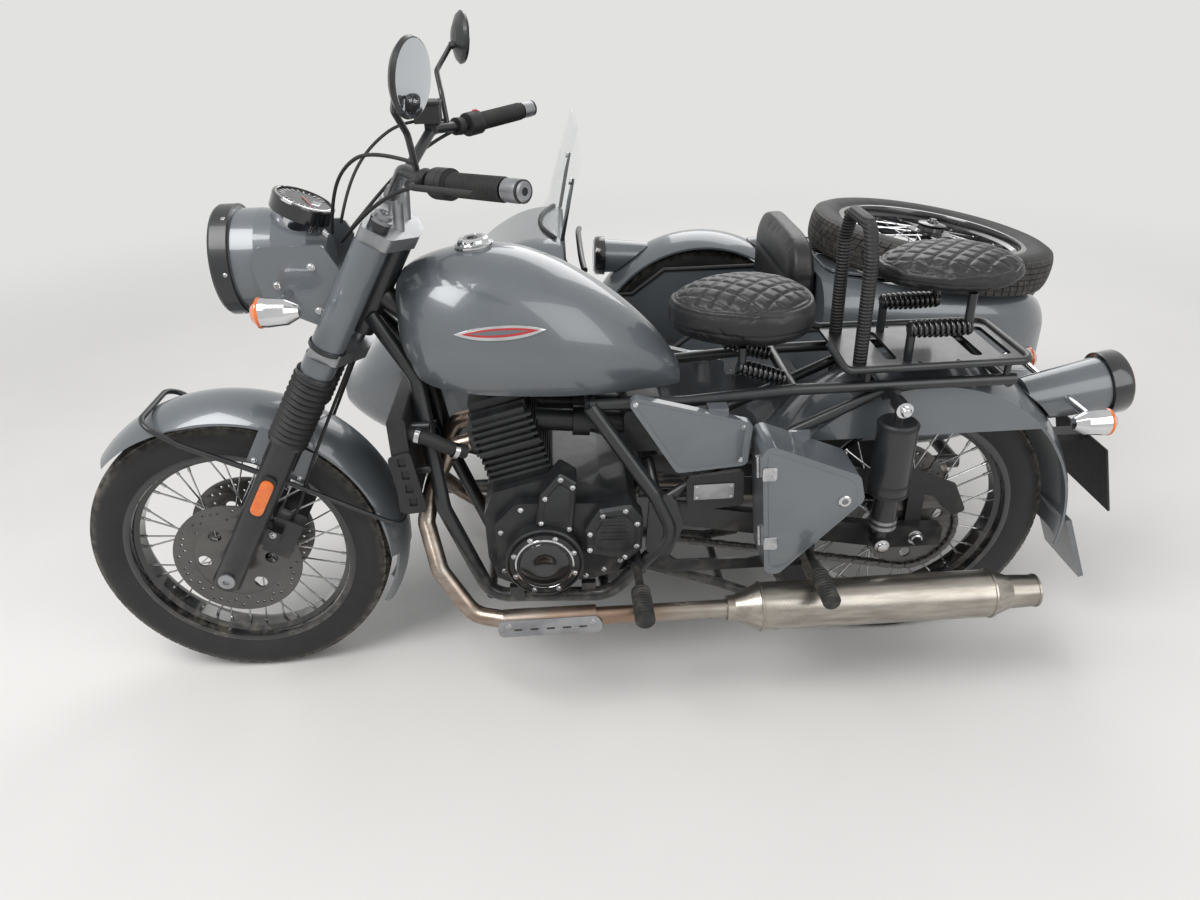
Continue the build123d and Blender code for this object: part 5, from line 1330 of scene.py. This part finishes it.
@dataclass
class Bodywork(Assembly):
    """Badge, panels, toolbox fittings, springs, lamps and chain of the machine itself."""

    pitch: float = 15.875
    chain_y: float = 84.0
    badge_place: Flat = (882.0, 871.0)
    door: tuple[Flat, ...] = ((388, 652), (366, 338), (336, 336), (170, 508), (184, 566))
    cover: tuple[Flat, ...] = ((655, 738), (392, 662), (400, 566), (545, 555))

    def badge(self) -> None:
        """Plain bar badge on each flank of the tank, and the filler cap's top."""
        x, z = self.badge_place
        for name, half, high, base, thick, finish in (("left_badge_rim", 86, 13, 153, 3.2, CHROME),
                                                      ("left_badge_bar", 72, 7.5, 151.8, 3.6, RED)):
            top = [(x + half * t, z + high * (1 - abs(t) ** 2.2)) for t in (k / 16 for k in range(-16, 17))]
            low = [(px, 2 * z - pz) for px, pz in reversed(top[1:-1])]
            self.pair(Bench.laid_on(Bench.flank(name, [top + low], base, thick, 0.8), "fuel_tank", 152.0), finish)
        rows = ((0, 37), (2, 39), (5, 39), (6, 36), (10, 33), (15, 31), (18, 27), (18, 21), (16, 19), (16, 0.1))
        self.lathe("filler_cap_top", CHROME, rows, (929, 0, 998), (0.08, 0, 1), 28, 20.0)
        rows = ((0, 12), (4, 11), (5, 9), (5, 0.1))
        self.lathe("filler_key_cover", GLOSS_BLACK, rows, (930, 0, 1014), (0.08, 0, 1), 24)

    def panels(self) -> None:
        """Raised fields and screws of the side covers, and the blank data plate."""
        self.pair(Bench.flank("left_cover_field", [eased(shrunk(self.cover, 0.84), 16)], 170.6, 3, 1.2), GREY)
        for side, label in SIDES:
            places = [(x, side * 170, z) for x, z in ((628, 716), (412, 654), (414, 580))]
            self.bolts(f"{label}_cover_screws", places, (0, side, 0), 4.5, 3.5)
        self.panel("blank_data_plate", ALLOY, [eased(block(424, 486, 508, 522), 3)], 166, 1.4, 0.3)
        self.bolts("data_plate_rivets", [(x, 166.5, z) for x in (430, 502) for z in (491, 517)], LEFT, 2.2, 1.6)

    def toolbox(self) -> None:
        """Door field, lock and hinges of the toolbox."""
        outline = eased(shrunk(self.door, 0.87), 18)
        self.panel("toolbox_door_field", GREY, [outline], 238.4, 3, 1.3, body=Body.TOOLBOX)
        rows = ((0, 13.5), (5, 13), (6.5, 11), (6.5, 7), (4, 6.4), (4, 0.1))
        self.lathe("toolbox_lock", CHROME, rows, (213, 238, 511), LEFT, 32, body=Body.TOOLBOX)
        down = Vector((-0.0699, 0, -0.9976))
        rows = ((-24, 3.2), (-24, 5), (-8.5, 5), (-8, 4.2), (-7.5, 5), (7.5, 5), (8, 4.2), (8.5, 5), (24, 5), (24, 3.2))
        leaves, knuckles = [], []
        for step in (70, 236):
            spot = Vector((390.5, 205, 652)) + down * step
            knuckles.append(Bench.turned("knuckle", rows, at(*spot), down, 20))
            x, z = spot.x, spot.z
            leaves.append(Bench.flank("leaf", [eased(block(x - 30, z - 15, x - 2, z + 15), 5)], 240, 2.2, 0.5))
            leaves.append(Bench.studs("leaf_screws", [(x - 23, 241, z - 8), (x - 23, 241, z + 8)], LEFT, 2.6, 1.8))
        self.dress(Bench.joined("toolbox_hinge_knuckles", knuckles), SPOKE)
        self.dress(Bench.joined("toolbox_hinge_leaves", leaves), SPOKE, body=Body.TOOLBOX)

    def springs(self) -> None:
        """Barrel springs and posts below both saddles, in place of the plain rods."""
        coils, posts = [], []
        for side, _ in SIDES:
            y = side * 70
            low, high = Vector((300, y, 706)), Vector((407, y, 742))
            run = (high - low).normalized()
            coils.append(Bench.coil("coil", low + run * 14, high, 16.0, 3.8, 9))
            y = side * 84
            coils.append(Bench.coil("coil", (64, y, 812), (-58, y, 812), 16.0, 3.8, 11))
            for rows, place, axis, steps in (
                (((16, 11), (60, 13), (106, 11)), low, run, 24),
                (((11.5, 7), (12, 15), (15, 15), (16, 8), (108, 8), (109, 15), (114, 15)), low, run, 24),
                (((0, 9), (43, 9)), (400, side * 70, 742), (0, 0, 1), 20),
                (((4, 11), (61, 13), (122, 11)), (66, y, 812), BACK, 24),
                (((0, 15), (3, 15), (4, 8), (122, 8), (123, 15), (126, 15)), (66, y, 812), BACK, 24),
                (((0, 9), (65, 9)), (60, y, 747), (0, 0, 1), 20),
                (((0, 9), (71, 9)), (-54, y, 812), (0, 0, 1), 20),
            ):
                posts.append(Bench.turned("post", rows, at(*place), axis, steps))
        self.dress(Bench.joined("saddle_spring_coils", coils), GLOSS_BLACK, "seat_springs")
        self.dress(Bench.joined("saddle_spring_posts", posts), SATIN)

    def dampers(self) -> None:
        """Nuts, adjuster rings and bands of the rear shock absorbers."""
        run = (-0.012, 0, 1)
        nut = ((0, 17), (3, 17), (4, 11), (12, 11), (17, 8), (19, 3), (19, 0.1))
        bolt = ((0, 16), (2, 16), (3, 11), (10, 11), (11, 8), (11, 0.1))
        collar = ((0, 25), (1, 28.5), (9, 28.5), (10, 25), (14, 25), (15, 28.5), (22, 28.5), (23, 25))
        band = ((0, 38.5), (1, 42.2), (7, 42.2), (8, 38.5))
        for side, label in SIDES:
            y, out = side * 172, (0, side, 0)
            self.lathe(f"{label}_damper_top_nut", CHROME, nut, (96, side * 190, 684), out, 24)
            self.lathe(f"{label}_damper_bolt", SPOKE, bolt, (100, side * 188, 356), out, 24)
            rings = [Bench.turned("ring", band, at(100 - 0.012 * s, y, 356 + s), run, 40) for s in (128, 150, 284)]
            self.dress(Bench.joined(f"{label}_damper_rings", rings), CASTING, slot="black_frame")
            self.lathe(f"{label}_damper_collar", ALLOY, collar, (99, y, 400), run, 24, 20.0)

    def chain(self) -> None:
        """Drive chain link by link, in place of the plain band."""
        rear, front, away = 105.6, 47.0, Vector((690.0, 85.0))
        turn = math.atan2(away.y, away.x)
        lean = math.pi / 2 - math.asin((rear - front) / away.length)
        upper, lower = turn + lean, turn - lean
        route: list[tuple[float, float, float]] = []
        for angle in (upper, lower):
            inner = (rear * math.cos(angle), rear * math.sin(angle))
            dx = away.x + front * math.cos(angle) - inner[0]
            dz = away.y + front * math.sin(angle) - inner[1]
            share = (612 - inner[0]) / dx
            count = int(math.hypot(dx, dz) * share / self.pitch)
            steps = [share * (k + 0.5) / count for k in range(count)]
            run = [(inner[0] + dx * step, inner[1] + dz * step, math.atan2(dz, dx)) for step in steps]
            if angle == lower:
                route += run
                continue
            route += reversed(run)
            sweep = 2 * math.pi - (upper - lower)
            count = int(sweep * rear / self.pitch)
            for turned in (upper + sweep * (k + 0.5) / count for k in range(count)):
                route.append((rear * math.cos(turned), rear * math.sin(turned), turned + math.pi / 2))
        outline = [(7.9 * end + 6.2 * math.cos(a), 6.2 * math.sin(a)) for end, start in ((1, -75), (-1, 105))
                   for a in (math.radians(start + 30 * k) for k in range(6))]
        forms = []
        for wide in (5.2, 7.2):
            plates = [Bench.moved(Bench.cut_sheet("link", [outline], 1.8, 0.2),
                                  Matrix.Translation((0, 0, side * wide * MM))) for side, _ in SIDES]
            pins = [Bench.turned("pin", ((-7.9, 3.4), (7.9, 3.4)), Vector((side * 7.9 * MM, 0, 0)), (0, 0, 1), 8)
                    for side, _ in SIDES]
            forms.append(Bench.moved(Bench.joined("link", plates + pins), UPRIGHT))
        groups = []
        for parity, form in enumerate(forms):
            places = [Matrix.Translation(at(x, self.chain_y, TYRE_R + z)) @ Matrix.Rotation(-angle, 4, "Y")
                      for x, z, angle in route[parity::2]]
            groups.append(Bench.repeated("links", form, places))
        self.dress(Bench.joined("chain_links", groups), DISC, "chain")

    def tail(self) -> None:
        """Bezel and lens of the tail lamp, axle nuts and the blank number plate."""
        run, start = (-0.985, 0, 0.17), (-248, 0, 598)
        rows = ((169, 63), (171, 71), (207, 71), (213, 68), (214, 63), (206, 61), (176, 61), (169, 63))
        self.lathe("tail_lamp_bezel", GLOSS_BLACK, rows, start, run, 60)
        rows = ((200, 64), (214, 64), (219, 60), (221, 50), (218, 45), (221, 40), (222, 26), (219, 21), (222, 15),
                (222, 0.1))
        self.lathe("tail_lamp_lens", RED_LENS, rows, start, run, 60, 40.0)
        for side, label in SIDES:
            self.lathe(f"{label}_rear_axle_nut", SPOKE, AXLE_NUT, (0, side * 124, TYRE_R), (0, side, 0), 24)
        lean = Matrix.Rotation(math.radians(-74.6), 4, "Y") @ Matrix.Rotation(math.radians(90), 4, "Z")
        place = Matrix.Translation(at(-426, 0, 440)) @ lean @ Matrix.Translation((0, 0, 2.0 * MM))
        plate = Bench.cut_sheet("number_plate_blank", [eased(block(-104, -72, 104, 72), 10)], 2.0, 0.4)
        self.dress(Bench.moved(plate, place), PLASTIC)

    def pegs(self) -> None:
        """Ribbed rubbers of the four foot pegs."""
        for side, label in SIDES:
            for name, x, z, radius in (("rider", 630, 330, 20.0), ("pillion", 258, 350, 18.0)):
                low, high = radius - 1.2, radius + 0.6
                rows = [(0, radius - 3)]
                for foot in range(2, 93, 9):
                    rows += [(foot, low), (foot + 1.5, high), (foot + 5, high), (foot + 6.5, low)]
                rows += [(100.5, radius - 3)]
                self.lathe(f"{label}_{name}_peg_rubber", RUBBER, rows, (x, side * 262, z), (0, side, 0.03), 28)

    def build(self) -> None:
        """Make every piece of the bodywork."""
        for make in (self.badge, self.panels, self.toolbox, self.springs, self.dampers, self.chain, self.tail,
                     self.pegs):
            make()


@dataclass
class Sidecar(Assembly):
    """Coaming, screen rubber, lamps, latch, mat and fittings of the sidecar."""

    half: float = 285.0
    screen_radius: float = 428.0
    screen_lean: float = math.radians(18.4)
    screen_foot: Flat = (806.0, 893.0)
    lid_ends: Flat = (-452.0, 62.0)
    lid_height: float = 702.0

    def top(self, x: float, y: float) -> float:
        """Height of the tub over a place, in metres.

        Args:
            x: Forward, in the vehicle's millimetres.
            y: Sideways from the tub's middle.

        Returns:
            The height, or zero where nothing is below.
        """
        place = at(x, TUB_Y + y, 1200)
        hit, point, _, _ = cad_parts["sidecar_body"].ray_cast(place, Vector((0, 0, -1)))
        return point.z if hit else 0.0

    def coaming(self) -> None:
        """Black rubber edge round the cockpit and over the cowl."""
        path = [(104, 640), (270, 640), (440, 640), (490, 603), (540, 566), (620, 566), (700, 566), (726, 633),
                (752, 700), (752, 745)]
        edge = [at(x, TUB_Y + self.half - 3 - max(0, x - 660) * 0.075, z) for x, z in path]
        for step in range(13):
            turn = math.pi / 2 * step / 12
            edge.append(at(752, TUB_Y + 168 + 105 * math.cos(turn), 756 + 105 * math.sin(turn)))
        middle = at(752, TUB_Y, 861)
        far = [Vector((p.x, 2 * middle.y - p.y, p.z)) for p in reversed(edge)]
        self.dress(Bench.bent("cockpit_edge_rubber", edge + [middle] + far, 6.5, 3, False), RUBBER)

    def screen_rubber(self) -> None:
        """Rubber strip along the foot of the windscreen, and the bolts of its stays."""
        points = []
        lean_x, lean_z = math.cos(self.screen_lean), math.sin(self.screen_lean)
        for y in range(-176, 177, 16):
            depth = math.sqrt(self.screen_radius ** 2 - y * y) - self.screen_radius
            for up in range(-90, 120, 3):
                x = self.screen_foot[0] + depth * lean_x - up * lean_z
                z = self.screen_foot[1] + depth * lean_z + up * lean_x
                if at(x, 0, z).z >= self.top(x, y):
                    points.append((x - 2, TUB_Y + y, z + 2))
                    break
        self.hose("screen_foot_rubber", points, 5.5)
        rows = ((0, 8), (5, 8), (6, 6), (6, 0.1))
        for side, label in SIDES:
            place = (724, TUB_Y + side * 176, 1014)
            self.lathe(f"{label}_screen_stay_bolt", SPOKE, rows, place, (1, 0, 0.3), 20)

    def lamps(self) -> None:
        """Bezels and lenses of the lamps on the sidecar mudguard."""
        bezel = ((138, 55), (140, 61.5), (165, 61.5), (172, 58), (173, 51), (168, 50), (144, 50), (138, 55))
        lens = ((164, 52), (170, 50), (175, 42), (176.5, 30), (174, 26), (176, 20), (176.8, 0.1))
        for name, x, way, finish in (("front", 476, 1, LAMP_GLASS), ("rear", 142, -1, RED_LENS)):
            run, start = (way, 0, 0.05), (x, SIDE_WHEEL[1], 636)
            self.lathe(f"sidecar_{name}_bezel", GLOSS_BLACK, bezel, start, run, 56)
            self.lathe(f"sidecar_{name}_lens", finish, lens, start, run, 56, 40.0)

    def boot(self) -> None:
        """Bead, latch and spare wheel clamp of the boot lid."""
        middle = sum(self.lid_ends) / 2
        height = self.lid_height + (middle - SPARE[0]) * math.tan(DECK_TILT)
        base = Matrix.Translation(at(middle, TUB_Y, height)) @ Matrix.Rotation(-DECK_TILT, 4, "Y")
        corners = block(-261, -174, 261, 174)
        inside = [(x * 0.965, y * 0.948) for x, y in corners]
        bead = Bench.cut_sheet("boot_lid_bead", [eased(corners, 42, 8), eased(inside, 36, 8)], 3.0, 1.0)
        self.dress(Bench.moved(bead, base @ Matrix.Translation((0, 0, 5.4 * MM))), GREY, body=Body.BOOT)
        latch = Bench.cut_sheet("boot_latch", [eased(block(-16, -22, 22, 22), 6)], 5.0, 1.4)
        self.dress(Bench.moved(latch, base @ Matrix.Translation((236 * MM, 0, 8.4 * MM))), CHROME, body=Body.BOOT)
        up = Vector((-math.sin(DECK_TILT), 0, math.cos(DECK_TILT)))
        rows = ((0, 38), (4, 38), (6, 34), (8, 16), (12, 15), (12, 11), (18, 9), (18, 0.1))
        self.lathe("spare_wheel_clamp", GLOSS_BLACK, rows, Vector(SPARE) + up * 50, up, 36, body=Body.BOOT)

    def cabin(self) -> None:
        """Ribbed floor mat and grab rail."""
        ribs = [Bench.cut_sheet("mat", [eased([(608, -232), (968, -205), (968, 205), (608, 232)], 18)], 3.0, 0.6)]
        for index in range(11):
            x, reach = 630 + 32 * index, 214 - index * 2.2
            rib = Bench.cut_sheet("rib", [eased(block(x, -reach, x + 9, reach), 3, 2)], 2.0, 0.5)
            ribs.append(Bench.moved(rib, Matrix.Translation((0, 0, 2.4 * MM))))
        mat = Bench.moved(Bench.joined("cabin_floor_mat", ribs), Matrix.Translation(at(0, TUB_Y, 247)))
        self.dress(mat, RUBBER)
        half = [(700, 205, 800), (704, 170, 806), (706, 90, 812)]
        route = [(x, -y, z) for x, y, z in half] + [(706, 0, 814)] + half[::-1]
        self.dress(Bench.bent("cabin_grab_rail", [at(x, TUB_Y + y, z) for x, y, z in route], 8), SATIN)

    def wheel_side(self) -> None:
        """Axle nut of the sidecar wheel and screws of the step plate."""
        self.lathe("sidecar_axle_nut", SPOKE, AXLE_NUT, (SIDE_WHEEL[0], SIDE_WHEEL[1] - 56, TYRE_R), RIGHT, 24)
        self.bolts("step_screws", [(200, -322, 561), (340, -322, 561)], (0, 0, 1), 4, 3)

    def build(self) -> None:
        """Make every piece of the sidecar."""
        for make in (self.coaming, self.screen_rubber, self.lamps, self.boot, self.cabin, self.wheel_side):
            make()


class NodeFinishes:
    """Finishes of the construction's own pieces."""

    table: dict[Finish, str] = {
        GREY: "fuel_tank side_covers toolbox_body toolbox_door rear_fender rear_lamp fork_covers headlamp_shell "
              "front_fender boot_lid sidecar_body sidecar_fender sidecar_lamps",
        SATIN: "main_frame swingarm shock_absorbers luggage_rack seat_springs fork_legs handlebar mirrors "
               "fender_stays sidecar_frame sidecar_swingarm centre_stand screen_stays",
        CASTING: "engine_cases cylinder_block intake",
        PLASTIC: "radiator chain_guard plate_bracket battery_panel",
        ALLOY: "tank_cap yokes step_plate",
        EXHAUST: "exhaust_pipes silencers",
        RUBBER: "foot_pegs fork_gaiters bar_controls",
        CHROME: "rear_indicators speedometer front_indicators",
        DISC: "chain", SLEEVE: "grab_loop", LAMP_GLASS: "headlamp_glass", CLEAR: "windscreen",
    }

    def build(self) -> None:
        """Put each finish on its nodes."""
        for finish, names in self.table.items():
            for name in names.split():
                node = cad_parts[name]
                node.data.materials.clear()
                node.data.materials.append(WARDROBE.get(finish))


@dataclass
class Studio:
    """Camera at the photograph's place, soft lights and a pale floor."""

    eye: tuple[float, float, float] = (762.3, 1718.9, 1468.3)
    yaw: float = -2.26
    pitch: float = 28.71
    roll: float = 1.92
    focal_pixels: float = 878.5
    image_width: int = 1200
    sensor: float = 36.0
    aim: tuple[float, float, float] = (500.0, -300.0, 500.0)
    pale: Colour = tone(226, 226, 224)

    def camera(self) -> None:
        """Set up the camera."""
        yaw, pitch, roll = (math.radians(v) for v in (self.yaw, self.pitch, self.roll))
        ahead = Vector((math.sin(yaw) * math.cos(pitch), -math.cos(yaw) * math.cos(pitch), -math.sin(pitch)))
        level = Vector((-math.cos(yaw), -math.sin(yaw), 0.0))
        down = ahead.cross(level)
        right = math.cos(roll) * level + math.sin(roll) * down
        up = math.sin(roll) * level - math.cos(roll) * down
        data = bpy.data.cameras.new("camera")
        data.sensor_width = self.sensor
        data.lens = self.focal_pixels / self.image_width * self.sensor
        data.clip_end = 60.0
        camera = bpy.data.objects.new("camera", data)
        turn = Matrix((right, up, -ahead)).transposed().to_4x4()
        camera.matrix_world = Matrix.Translation(at(*self.eye)) @ turn
        bpy.context.scene.collection.objects.link(camera)
        bpy.context.scene.camera = camera

    def lamp(self, name: str, place: Point, size: float, power: float) -> None:
        """Add a soft square lamp that looks at the machine.

        Args:
            name: Its name.
            place: Where it hangs, in the vehicle's millimetres.
            size: Its side in metres.
            power: Its power in watts.
        """
        data = bpy.data.lights.new(name, "AREA")
        data.size = size
        data.energy = power
        lamp = bpy.data.objects.new(name, data)
        lamp.location = at(*place)
        lamp.rotation_euler = (at(*self.aim) - lamp.location).to_track_quat("-Z", "Y").to_euler()
        bpy.context.scene.collection.objects.link(lamp)

    def floor(self) -> None:
        """Lay the pale floor."""
        Bench.clear()
        bpy.ops.mesh.primitive_plane_add(size=40.0, location=(0, 0, 0))
        floor = bpy.context.object
        floor.name = "floor"
        book = MaterialBook("pale_floor")
        tint = book.mix(book.noise(2.0, 3.0), tone(214, 212, 208), tone(222, 220, 216))
        near = book.node("ShaderNodeBsdfPrincipled", {}, {"Base Color": tint, "Roughness": 0.9})
        far = book.node("ShaderNodeEmission", {}, {"Color": self.pale, "Strength": 1.0})
        reach = book.node("ShaderNodeVectorMath", {"operation": "LENGTH"}, {0: book.place()}, 1)
        both = book.node("ShaderNodeMixShader", {}, {0: reach.step(2.0, 5.0) * book.seen(), 1: near, 2: far})
        book.node("ShaderNodeOutputMaterial", {}, {"Surface": both})
        floor.data.materials.append(book.material)

    def build(self) -> None:
        """Set the stage."""
        scene = bpy.context.scene
        scene.view_settings.view_transform = "Standard"
        scene.world = bpy.data.worlds.new("studio")
        book = MaterialBook("studio", scene.world)
        light = book.node("ShaderNodeBackground", {}, {"Color": (0.93, 0.95, 1.0, 1.0), "Strength": 0.55})
        backdrop = book.node("ShaderNodeBackground", {}, {"Color": self.pale, "Strength": 1.0})
        both = book.node("ShaderNodeMixShader", {}, {0: book.seen(), 1: light, 2: backdrop})
        book.node("ShaderNodeOutputWorld", {}, {"Surface": both})
        self.camera()
        self.floor()
        self.lamp("key", (2600, 1500, 3800), 2.2, 120.0)
        self.lamp("fill", (-1800, 2600, 2600), 3.0, 62.0)
        self.lamp("rim", (-600, -3600, 3200), 3.0, 70.0)


def main() -> None:
    """Build every sub-assembly and close the scene."""
    logging.basicConfig(level=logging.INFO, format="%(message)s")
    Studio().build()
    NodeFinishes().build()
    for assembly in (
        Wheel(), FrontEnd(), Engine(), Bodywork(), Sidecar(),
        Pad("driver_saddle", "driver_seat", 2.4, 3.2, 0.42, 0.34, 46.0),
        Pad("pillion_saddle", "pillion_seat", 2.4, 3.2, 0.42, 0.30, 46.0),
        Pad("sidecar_seat_pad", "sidecar_cushion", 6.0, 4.0, cap=10.0),
        Pad("sidecar_back_pad", "sidecar_backrest", 6.0, 4.0, cap=5.0),
    ):
        LOG.info("building %s", type(assembly).__name__)
        assembly.build()


if __name__ == "__main__":
    main()
